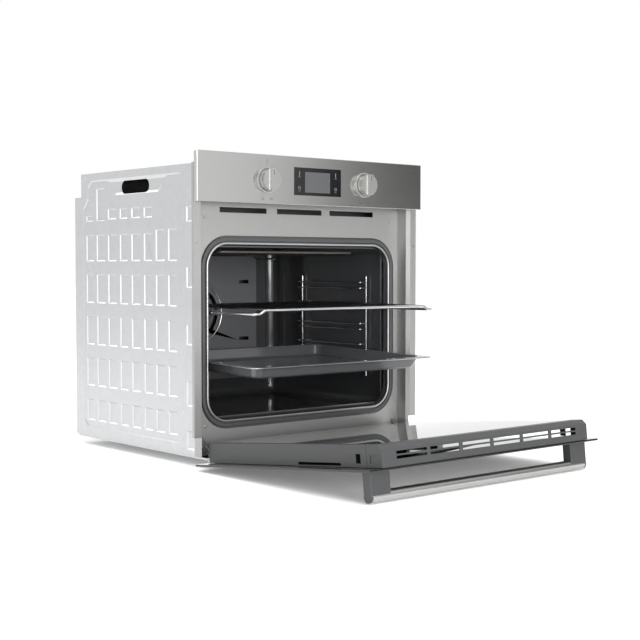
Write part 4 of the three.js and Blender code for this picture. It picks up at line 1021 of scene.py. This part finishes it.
def cavity_box(name, grow, front, back, edge_mm):
    x = (-CAVITY_HALF_W - grow, CAVITY_HALF_W + grow)
    z = (CAVITY_Z[0] - grow, CAVITY_Z[1] + grow)
    made = block(name, x, (front, back), z)
    return rounded(made, edge_mm, 6, 60)


class OVEN_OT_cavity(bpy.types.Operator):
    """Enamelled cavity with its flanged mouth, and the door seal"""
    bl_idname = "oven.cavity"
    bl_label = "Cavity"

    def execute(self, context):
        front, collar = LINER_Y[0], 37.0
        shell = cavity_box("cavity_liner_enamelled", SHEET, collar, CAVITY_BACK + SHEET, 20.0)
        for side in (-1, 1):
            x = sorted((side * (CAVITY_HALF_W - 4), side * (CAVITY_HALF_W + 3.2)))
            unite(shell, slab("hollow_back", x, (76, 394), (92, 366), 0, 14, 6))
        hollow = cavity_box("hollow", 0, collar + SHEET, CAVITY_BACK, 19.0)
        for side in (-1, 1):
            x = sorted((side * (CAVITY_HALF_W - 4), side * (CAVITY_HALF_W + 2)))
            unite(hollow, slab("hollow_side", x, (77, 393), (93, 365), 0, 13, 6))
        cut(shell, hollow)
        unite(shell, mouth_ring("throat", -1, SHEET, (front + 1, collar + 1), 0))
        cut(shell, mouth_ring("clear", -200, 0, (front - 3, collar + 3), 0))
        opening = slab("opening", (-MOUTH_HALF_W, MOUTH_HALF_W), (front - 3, collar + 3), MOUTH_Z, 1,
                       MOUTH_R, 16)
        cut(shell, opening)
        unite(shell, mouth_ring("flange", 0, LINER_X[1] - MOUTH_HALF_W, (front, front + 1.5), 0))
        for x in (224.0, -224.0):
            unite(shell, block("ridge", (x - 3, x + 3), (CAVITY_BACK - 3, CAVITY_BACK + 0.4), (110, 400)))
        for x, z in [(-14, FAN_Z + 89), (14, FAN_Z + 89), (-30, 404), (30, 404)]:
            cut(shell, rod("leg_hole", (x, 425, z), (x, 440, z), 3.8, 16))
        cut(shell, rod("shaft_hole", (0, 425, FAN_Z), (0, 440, FAN_Z), 7, 24))
        cut(shell, rod("lamp_hole", (-196, 425, 372), (-196, 440, 372), 24, 32))
        cut(shell, rod("probe_hole", (194, 425, 392), (194, 440, 392), 3.2, 16))
        rounded(shell, 0.6, 2, 50)
        done(shell, "cavity_enamel", "oven", "cavity_liner", smooth=40)
        seal = mouth_ring("mouth_seal", SEAL_INNER, SEAL_OUTER, GASKET_Y, 1.7)
        done(seal, "silicone_seal", "oven", "mouth_gasket", smooth=60)
        lip = mouth_ring("mouth_lip", -0.8, 3.6, (GASKET_Y[1] - 4.4, GASKET_Y[1]), 1.6)
        done(lip, "satin_metal", "oven", smooth=60)
        return {"FINISHED"}


class OVEN_OT_fan_and_elements(bpy.types.Operator):
    """Fan, its baffle and grille, the heating elements, lamp and probe"""
    bl_idname = "oven.fan_and_elements"
    bl_label = "Fan and elements"

    def execute(self, context):
        # the baffle's lighter grey enamel is a painted reflection
        refine_all("oven", {"fan_baffle": "baffle_enamel"}, 0.4)
        centre = (0, BAFFLE_Y[0] - 0.2, FAN_Z)
        select()
        bpy.ops.mesh.primitive_torus_add(major_radius=GRILLE_R * MM, minor_radius=GRILLE_WIRE_R * MM,
                                         major_segments=72, minor_segments=12,
                                         location=Vector(centre) * MM, rotation=(math.pi / 2, 0, 0))
        done(named("fan_grille_rim"), "chromed_wire", "oven")
        refine_all("fan", {"convection_fan": "galvanised_steel"}, 0.3)
        refine_all("oven", {"fan_motor": "galvanised_steel", "lamp_housing": "galvanised_steel",
                            "ring_element": "heated_sheath", "bottom_element": "heated_sheath",
                            "lamp_lens": "lamp_glass", "temperature_probe": "chromed_wire"}, 0.4)
        z = 404.0
        legs = [(-30, 460, z), (-30, 332, z), (-60, 130, z), (-100, 130, z), (-110, 372, z), (-178, 372, z),
                (-178, 70, z), (178, 70, z), (178, 372, z), (110, 372, z), (100, 130, z), (60, 130, z),
                (30, 332, z), (30, 460, z)]
        tube = wire("grill_element_tube", legs, 3.3, 14.0)
        done(tube, "heated_sheath", "oven", "grill_element", smooth=60)
        return {"FINISHED"}


def rail_height(level):
    return TOP_RAIL - level * RAIL_PITCH - RAIL_PAIR


class OVEN_OT_shelf_supports(bpy.types.Operator):
    """Wire ladders on both side walls"""
    bl_idname = "oven.shelf_supports"
    bl_label = "Shelf supports"

    def execute(self, context):
        radius = sizes().wire / MM / 2
        front, back = RACK_Y[0] + WIRE_R, RACK_Y[1] - WIRE_R
        foot, top = RACK_Z[0], RACK_Z[1]
        upright = wire("upright", [(UPRIGHT_X, front, foot), (UPRIGHT_X, front, top)], radius)
        hook = wire("hook", [(UPRIGHT_X, front, top - 4), (RACK_X[1] - 0.1, front, top - 4)], radius)
        parts = [upright, hook, copy_at(upright, "upright", (0, back - front, 0)),
                 copy_at(hook, "hook", (0, back - front, 0))]
        heights = [rail_height(level) + up for level in range(RACK_LEVELS) for up in (0, RAIL_PAIR)]
        z = heights[0]
        rail = wire("rail", [(UPRIGHT_X, front, z), (RAIL_X, front + 4, z), (RAIL_X, back - 4, z),
                             (UPRIGHT_X, back, z)], radius, 5.0, 4)
        parts += [rail] + [copy_at(rail, "rail", (0, 0, height - z)) for height in heights[1:]]
        right = group("shelf_ladder_right", *parts)
        left = mirrored(right, "shelf_ladder_left")
        done(right, "chromed_wire", "oven", "shelf_rack_right", smooth=60)
        done(left, "chromed_wire", "oven", "shelf_rack_left", smooth=60)
        return {"FINISHED"}


class OVEN_OT_wire_shelf(bpy.types.Operator):
    """Chromed wire shelf with its cranked front and back rods"""
    bl_idname = "oven.wire_shelf"
    bl_label = "Wire shelf"

    def execute(self, context):
        rod_r = sizes().shelf_frame / MM / 2
        wire_r = sizes().shelf_wire / MM / 2
        low, step = SHELF_Z[0] + rod_r, SHELF_STEP
        x = SHELF_X[1] - rod_r
        y = (SHELF_Y[0] + rod_r, SHELF_Y[1] - rod_r)
        inner = x - SHELF_SHOULDER

        def corner(side, at):
            return [(side * (inner - 8), at, low + step), (side * (inner + 4), at, low), (side * x, at, low)]
        loop = ([(4, y[1], low + step)] + corner(1, y[1]) + corner(1, y[0])[::-1] + corner(-1, y[0])
                + corner(-1, y[1])[::-1] + [(-4, y[1], low + step)])
        weld = wire("weld", [(-8, y[1], low + step), (8, y[1], low + step)], rod_r - 0.2)
        parts = [wire("loop", loop, rod_r, 9.0, 6), weld]
        first, over = -inner + SHELF_WIRE_MARGIN, low + step + rod_r - wire_r + 0.2
        pitch = -2 * first / (SHELF_CROSS_WIRES - 1)
        bar = wire("bar", [(first, y[0] - 1.5, over), (first, y[1] + 1.5, over)], wire_r, sides=2)
        parts += [bar] + [copy_at(bar, "bar", (i * pitch, 0, 0)) for i in range(1, SHELF_CROSS_WIRES)]
        foot = low - rod_r + wire_r
        runner = wire("runner", [(RAIL_X, y[0], foot), (RAIL_X, y[1], foot)], wire_r)
        parts += [runner, copy_at(runner, "runner", (-2 * RAIL_X, 0, 0))]
        done(group("wire_shelf_chromed", *parts), "chromed_wire", "shelf", "wire_shelf", smooth=60)
        return {"FINISHED"}


class OVEN_OT_baking_tray(bpy.types.Operator):
    """Pressed and enamelled baking tray"""
    bl_idname = "oven.baking_tray"
    bl_label = "Baking tray"

    def execute(self, context):
        half, depth = TRAY_HALF, TRAY_DEPTH
        well, long_well = half - TRAY_FLANGE, depth / 2 - TRAY_FLANGE
        piece = slab("baking_tray_enamelled", (-well, well), (TRAY_FLANGE, depth - TRAY_FLANGE),
                     (-TRAY_HEIGHT, 0), 2, TRAY_CORNER_R, 6)
        middle = Vector((0, depth / 2, 0)) * MM

        def spread(x, y):
            bpy.ops.transform.resize(value=(x, y, 1), center_override=middle)
        pick_faces(piece, lambda c, n: n.z < -0.9)
        spread((well - TRAY_TAPER) / well, (long_well - TRAY_TAPER) / long_well)
        bpy.ops.mesh.bevel(offset=6 * MM, segments=5, affect="EDGES")
        leave_edit()
        pick_faces(piece, lambda c, n: n.z > 0.9)
        bpy.ops.mesh.delete(type="FACE")
        leave_edit()
        pick_edges(piece, lambda a, b: a.z > -0.01 and b.z > -0.01)
        bpy.ops.mesh.extrude_region_move()
        spread((half - TRAY_LIP) / well, (depth / 2 - TRAY_LIP) / long_well)
        bpy.ops.mesh.extrude_region_move(TRANSFORM_OT_translate={"value": (0, 0, -0.3 * MM)})
        spread(half / (half - TRAY_LIP), (depth / 2) / (depth / 2 - TRAY_LIP))
        leave_edit()
        with_modifier(piece, "BEVEL", width=1.5 * MM, segments=3, limit_method="ANGLE",
                      angle_limit=math.radians(45))
        with_modifier(piece, "SOLIDIFY", thickness=TRAY_SHEET * MM, offset=-1)
        low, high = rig.box("baking_tray")
        # the sheet's thickness stands above and outside its outline, so both start inside the box
        front_y, front_z = low[1] + 0.6 * MM, high[2] - depth * MM * math.sin(TRAY_TILT)
        piece.rotation_euler.x = TRAY_TILT
        piece.location = (0, front_y, front_z - 1.1 * MM)
        settle(piece)
        done(piece, "tray_enamel", "tray", "baking_tray", smooth=45)
        # the rim bead is a painted highlight: the enamelled tray's rolled rim wears the pale satin metal
        edge, front, back = half - TRAY_RIM_R, TRAY_RIM_R, depth - TRAY_RIM_R
        rim = [(0, front, 0), (edge, front, 0), (edge, back, 0), (-edge, back, 0), (-edge, front, 0),
               (0, front, 0)]
        bead = wire("tray_rim", rim, TRAY_RIM_R, 12.0, 6)
        bead.rotation_euler.x = TRAY_TILT
        bead.location = (0, front_y, front_z - 1.6 * MM)
        done(settle(bead), "satin_metal", "tray", smooth=60)
        return {"FINISHED"}


# ---- controls ----

class OVEN_OT_fascia(bpy.types.Operator):
    """Control fascia with its printed marks and what it carries inside"""
    bl_idname = "oven.fascia"
    bl_label = "Control fascia"

    def execute(self, context):
        shell = rounded(block("control_fascia_brushed", FASCIA_X, FASCIA_Y, FASCIA_Z), 1.0, 4)
        wall, through = FASCIA_WALL, (FASCIA_Y[0] - 5, FASCIA_Y[0] + 5)
        cut(shell, block("hollow", (FASCIA_X[0] + wall, FASCIA_X[1] - wall),
                         (FASCIA_Y[0] + wall, FASCIA_Y[1] + 5), (FASCIA_Z[0] + wall, FASCIA_Z[1] - wall)),
            block("window", DISPLAY_X, through, DISPLAY_Z))
        for x in KNOB_X:
            cut(shell, rod("knob_hole", (x, through[0], KNOB_Z), (x, through[1], KNOB_Z), KNOB_HOLE_R, 64))
        done(shell, "brushed_steel", "oven", "control_fascia")
        refine_all("oven", {"control_carrier": "moulded_plastic", "control_board": "circuit_board",
                            "function_switch": "moulded_plastic", "thermostat_switch": "moulded_plastic"}, 0.6)
        marks = []
        y = (FASCIA_Y[0] - 0.12, FASCIA_Y[0] + 0.3)
        for x in KNOB_X:
            marks.append(block("tick", (x - 0.4, x + 0.4), y, (KNOB_Z + 30, KNOB_Z + 41)))
            for i in range(1, 12):
                turn = math.radians(30 * i)
                if i == 6:
                    continue
                at = (x + DIAL_R * math.sin(turn), DIAL_R * math.cos(turn) + KNOB_Z)
                marks.append(rod("dot", (at[0], y[0], at[1]), (at[0], y[1], at[1]), 0.7, 12))
            for middle in (x - 11, x + 11):
                for drop in (38.2, 35.6):
                    marks.append(block("bar", (middle - 3.2, middle + 3.2), y,
                                       (KNOB_Z - drop - 0.8, KNOB_Z - drop)))
        done(group("fascia_marks", *marks), "printed_mark", "oven")
        return {"FINISHED"}


class OVEN_OT_display(bpy.types.Operator):
    """Display window, its screen and touch symbols"""
    bl_idname = "oven.display"
    bl_label = "Display"

    def execute(self, context):
        glass = rounded(block("display_glass_polished", DISPLAY_X, DISPLAY_Y, DISPLAY_Z), 0.4, 3)
        cut(glass, block("recess", SCREEN_X, (DISPLAY_Y[0] - 2, DISPLAY_Y[0] + 1.2), SCREEN_Z))
        done(glass, "black_glass", "oven", "display_glass")
        screen = rounded(block("display_screen_film", SCREEN_X, SCREEN_Y, SCREEN_Z), 0.15, 2)
        done(screen, "display_screen", "oven", "display_screen")
        y = (DISPLAY_Y[0] - 0.05, DISPLAY_Y[0] + 0.3)
        left = (DISPLAY_X[0] + SCREEN_X[0]) / 2
        right = (DISPLAY_X[1] + SCREEN_X[1]) / 2
        top, foot = DISPLAY_Z[1] - 13, DISPLAY_Z[0] + 13
        marks = []
        for x, z in ((left, top), (right, top)):
            marks.append(block("stem", (x - 0.9, x + 0.9), y, (z - 4, z + 5)))
            marks.append(block("base", (x - 3.4, x + 3.4), y, (z - 6.6, z - 5.8)))
        for x, z in ((left, foot), (right, foot)):
            marks.append(cut(rod("ring", (x, y[0], z + 2), (x, y[1], z + 2), 3.2, 32),
                             rod("bore", (x, y[0] - 1, z + 2), (x, y[1] + 1, z + 2), 2.2, 32)))
            marks.append(block("base", (x - 3.0, x + 3.0), y, (z - 4.6, z - 3.9)))
        done(group("touch_symbols", *marks), "pale_mark", "oven")
        return {"FINISHED"}


def knob_body(x, name):
    """A drum with two scoops that leave a grip bar across its face."""
    drum = rod(name, (x, KNOB_Y[0], KNOB_Z), (x, KNOB_Y[1], KNOB_Z), KNOB_R, 96)
    rounded(drum, 0.9, 3)
    for side in (-1, 1):
        reach = sorted((x + side * GRIP_HALF_W, x + side * (KNOB_R + 2)))
        scoop = block("scoop", reach, (KNOB_Y[0] - 2, KNOB_Y[0] + SCOOP_DEPTH), (KNOB_Z - 30, KNOB_Z + 30))
        rounded(scoop, 2.0, 3)
        cut(drum, scoop)
    groove = cut(rod("groove", (x, KNOB_Y[0] + 9.6, KNOB_Z), (x, KNOB_Y[0] + 10.6, KNOB_Z), KNOB_R + 2, 96),
                 rod("core", (x, KNOB_Y[0] + 8, KNOB_Z), (x, KNOB_Y[0] + 12, KNOB_Z), KNOB_R - 0.8, 96))
    cut(drum, groove)
    cut(drum, rod("bore", (x, KNOB_Y[0] + 4, KNOB_Z), (x, KNOB_Y[1] + 2, KNOB_Z), 3.3, 24))
    return rounded(drum, 0.35, 2, 45)


class OVEN_OT_knobs(bpy.types.Operator):
    """Pop-out knobs, their collars and spindles"""
    bl_idname = "oven.knobs"
    bl_label = "Knobs"

    def execute(self, context):
        for side, x in zip(("left", "right"), KNOB_X):
            drum = knob_body(x, f"knob_{side}_satin")
            done(drum, "satin_metal", f"knob_{side}", f"knob_{side}", smooth=30)
            pointer = block(f"pointer_{side}", (x - 0.7, x + 0.7), (KNOB_Y[0] - 0.05, KNOB_Y[0] + 0.6),
                            (KNOB_Z + 8, KNOB_Z + 19))
            done(rounded(pointer, 0.2), "printed_mark", f"knob_{side}")
            bore_r = KNOB_R + KNOB_PLAY
            collar = cut(rod(f"collar_{side}", (x, COLLAR_Y[0], KNOB_Z), (x, FASCIA_Y[0] - 0.2, KNOB_Z),
                             (COLLAR_X[1] - COLLAR_X[0]) / 2, 96),
                         rod("bore", (x, COLLAR_Y[0] - 2, KNOB_Z), (x, FASCIA_Y[0] + 2, KNOB_Z), bore_r, 96))
            sleeve = cut(rod("sleeve", (x, FASCIA_Y[0] - 1, KNOB_Z), (x, COLLAR_Y[1], KNOB_Z), SLEEVE_R, 96),
                         rod("bore", (x, COLLAR_Y[0] - 2, KNOB_Z), (x, COLLAR_Y[1] + 2, KNOB_Z), bore_r, 96))
            unite(collar, sleeve)
            rounded(collar, 0.7, 3, 40)
            done(collar, "satin_metal", "oven", f"knob_collar_{side}", smooth=40)
            refine_all(f"spindle_{side}", {f"knob_spindle_{side}": "plain_steel"}, 0.3)
        return {"FINISHED"}


# ---- works above and around the cavity ----

class OVEN_OT_works(bpy.types.Operator):
    """Insulation, cooling blower, duct and safety thermostat"""
    bl_idname = "oven.works"
    bl_label = "Works"

    def execute(self, context):
        refine_all("oven", {"insulation_blanket": "mineral_fibre"}, 3.0)
        # the air duct wears the dark moulded nylon in place of zinc sheet, as painted shade for the shadowed gap under
        # the fascia
        refine_all("oven", {"blower_housing": "galvanised_steel", "blower_motor": "plain_steel",
                            "air_duct": "moulded_plastic", "limit_thermostat": "moulded_plastic"}, 0.5)
        refine_all("blower", {"blower_wheel": "galvanised_steel"}, 0.2)
        return {"FINISHED"}


# ---- door ----

class OVEN_OT_door(bpy.types.Operator):
    """Door glass, its rails, vented cap and hinge cases"""
    bl_idname = "oven.door"
    bl_label = "Door"

    def execute(self, context):
        y = (FASCIA_Y[0], FASCIA_Y[0] + PANEL_T)
        panel = slab("door_panel_glass", (-FRONT_HALF, FRONT_HALF), y, (DOOR_FOOT, DOOR_TOP), 1, 1.5, 3)
        rounded(panel, 0.8, 3)
        done(swung_open(panel), "black_glass", "door", "door_outer_panel")
        for side, name in ((-1, "left"), (1, "right")):
            rail = refined(f"door_side_rail_{name}", 0.4)
            x = sorted((side * 264.0, side * 270.0))
            cut(rail, swung_open(block("window", x, (-9.8, 6.2), (428, 440))))
            done(rail, "moulded_plastic", "door", f"door_side_rail_{name}")
        cap = refined("door_top_cap", 0.6)
        for side in (-1, 1):
            x = sorted((side * 266.3, side * 270.0))
            cut(cap, swung_open(block("window", x, (-8.8, 5.2), (463, 490))))
        done(cap, "moulded_plastic", "door", "door_top_cap")
        refine_all("door", {"door_bottom_rail": "moulded_plastic",
                            "door_hinge_case_left": "galvanised_steel",
                            "door_hinge_case_right": "galvanised_steel"}, 0.6)
        refine_all("door", {"door_inner_glass": "coated_glass", "door_middle_glass": "coated_glass"}, 0.6)
        return {"FINISHED"}


class OVEN_OT_handle(bpy.types.Operator):
    """Handle bar and its two posts"""
    bl_idname = "oven.handle"
    bl_label = "Handle"

    def execute(self, context):
        radius = sizes().handle / MM / 2
        reach = HANDLE_X[1]

        def bar(name, half, bar_radius, sides):
            return rod(name, (-half, HANDLE_Y, HANDLE_Z), (half, HANDLE_Y, HANDLE_Z), bar_radius, sides)
        grip = cut(bar("handle_bar_brushed", reach, radius, 64), bar("bore", reach + 1, radius - 1.5, 48))
        rounded(grip, 0.3)
        done(swung_open(grip), "handle_steel", "door", "handle_bar", smooth=40)
        inner, outer = HANDLE_END - POST_W, HANDLE_END
        post = block("handle_post_right_moulded", (inner, outer), (HANDLE_Y, FASCIA_Y[0] - 0.3),
                     (HANDLE_Z - 9.8, HANDLE_Z + 9.8))
        rounded(post, 1.6, 3)
        seat = rod("seat", (inner - 1, HANDLE_Y, HANDLE_Z), (outer - 4, HANDLE_Y, HANDLE_Z),
                   radius + 0.3, 64)
        cut(post, seat)
        end = rod("end", (outer - 4, HANDLE_Y, HANDLE_Z), (outer, HANDLE_Y, HANDLE_Z), radius, 64)
        unite(post, rounded(end, 0.8, 3))
        left = mirrored(post, "handle_post_left_moulded")
        done(swung_open(post), "moulded_plastic", "door", "handle_post_right")
        done(swung_open(left), "moulded_plastic", "door", "handle_post_left")
        return {"FINISHED"}


# ---- stage ----

CAMERA_PLACE = (-1.6859, -2.0036, 0.3767)
CAMERA_TURN = (math.radians(90 - 2.46), 0, math.radians(-40.5))
CAMERA_LENS = 71.6
FLAG_TURN = 71.6
FLAG_HALF_WIDTH = 31.0


def softbox(name, place, target, width, height, power):
    light = bpy.data.lights.new(name, "AREA")
    light.shape = "RECTANGLE"
    light.size, light.size_y = width, height
    light.energy = power
    lamp = bpy.data.objects.new(name, light)
    bpy.context.collection.objects.link(lamp)
    lamp.visible_camera = False
    lamp.location = place
    lamp.rotation_euler = (Vector(target) - Vector(place)).to_track_quat("-Z", "Y").to_euler()


def studio_world():
    """Even white surroundings with one dark flag to the right, which shades the metal that faces it."""
    world = bpy.data.worlds.new("studio")
    bpy.context.scene.world = world
    world.use_nodes = True
    tree = world.node_tree
    shader = tree.nodes["Background"]
    where = add_node(tree, "ShaderNodeTexCoord").outputs["Generated"]
    flag = Vector((math.sin(math.radians(FLAG_TURN)), -math.cos(math.radians(FLAG_TURN)), 0))
    facing = add_node(tree, "ShaderNodeVectorMath", {"operation": "DOT_PRODUCT", 1: flag}, {0: where})
    edge = math.cos(math.radians(FLAG_HALF_WIDTH))
    fade = add_node(tree, "ShaderNodeMapRange",
                    {"interpolation_type": "SMOOTHSTEP", "From Min": edge - 0.03, "From Max": edge + 0.02,
                     "To Min": 1.02, "To Max": 0.06}, {"Value": facing.outputs["Value"]})
    seen = add_node(tree, "ShaderNodeLightPath").outputs["Is Camera Ray"]
    level = add_node(tree, "ShaderNodeMix", {"data_type": "FLOAT", 3: 1.0},
                     {0: seen, 2: fade.outputs["Result"]})
    tree.links.new(level.outputs[0], shader.inputs["Strength"])
    shader.inputs["Color"].default_value = (1, 1, 1, 1)


class OVEN_OT_stage(bpy.types.Operator):
    """Floor, lights, surroundings and camera"""
    bl_idname = "oven.stage"
    bl_label = "Stage"

    def execute(self, context):
        select()
        bpy.ops.mesh.primitive_plane_add(size=40, location=(0, 0, CAD_BOX[0][2] - 0.002))
        floor = named("studio_floor")
        made, tree, shader = blank("studio_floor_paint",
                                   {"Roughness": 0.9, "Emission Color": (1, 1, 1, 1),
                                    "Emission Strength": 0.14})
        tinted(tree, shader, linear("#fafafa"), noise(tree, place_on_object(tree), 900.0), 0.99, 1.0)
        floor.data.materials.append(made)
        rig.stage(floor)
        studio_world()
        softbox("left_softbox", (-3.1, -1.15, 0.55), (-0.27, 0.25, 0.3), 1.7, 1.6, 15)
        softbox("rear_softbox", (-1.0, 2.8, 2.2), (-0.27, 0.3, 0.25), 2.0, 1.8, 26)
        softbox("front_softbox", (-0.5, -2.9, 0.7), (0, 0.4, 0.25), 1.2, 0.8, 42)
        softbox("top_softbox", (-0.6, -1.2, 3.2), (0, 0.0, 0.2), 2.4, 2.4, 40)
        context.scene.view_settings.view_transform = "Standard"
        camera = bpy.data.cameras.new("camera")
        camera.lens = CAMERA_LENS
        camera.sensor_width = 36
        camera.clip_start = 0.05
        view = bpy.data.objects.new("camera", camera)
        context.collection.objects.link(view)
        view.location = CAMERA_PLACE
        view.rotation_euler = CAMERA_TURN
        context.scene.camera = view
        return {"FINISHED"}


class OVEN_PT_panel(bpy.types.Panel):
    """Lists the builders of the oven's pieces"""
    bl_label = "Wall oven"
    bl_idname = "OVEN_PT_panel"
    bl_space_type = "VIEW_3D"
    bl_region_type = "UI"
    bl_category = "Oven"

    def draw(self, context):
        for holder in (context.scene.oven_sizes, context.scene.oven_colours):
            for key in holder.__annotations__:
                self.layout.prop(holder, key)
        for step in STEPS:
            self.layout.operator(step.bl_idname)


STEPS = (OVEN_OT_side_panels, OVEN_OT_cabinet, OVEN_OT_front_frame, OVEN_OT_cavity,
         OVEN_OT_fan_and_elements, OVEN_OT_shelf_supports, OVEN_OT_wire_shelf, OVEN_OT_baking_tray,
         OVEN_OT_fascia, OVEN_OT_display, OVEN_OT_knobs, OVEN_OT_works, OVEN_OT_door, OVEN_OT_handle,
         OVEN_OT_stage)
CLASSES = (OvenSizes, OvenColours, *STEPS, OVEN_PT_panel)


def register():
    for item in CLASSES:
        bpy.utils.register_class(item)
    bpy.types.Scene.oven_sizes = bpy.props.PointerProperty(type=OvenSizes)
    bpy.types.Scene.oven_colours = bpy.props.PointerProperty(type=OvenColours)


def unregister():
    del bpy.types.Scene.oven_colours
    del bpy.types.Scene.oven_sizes
    for item in reversed(CLASSES):
        bpy.utils.unregister_class(item)


def main():
    register()
    for step in STEPS:
        family, name = step.bl_idname.split(".")
        getattr(getattr(bpy.ops, family), name)()
    with open("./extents.json", "w") as out:
        json.dump({"cad": [list(corner) for corner in CAD_BOX],
                   "visual": [list(corner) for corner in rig.bounds()]}, out)


if __name__ == "__main__":
    main()
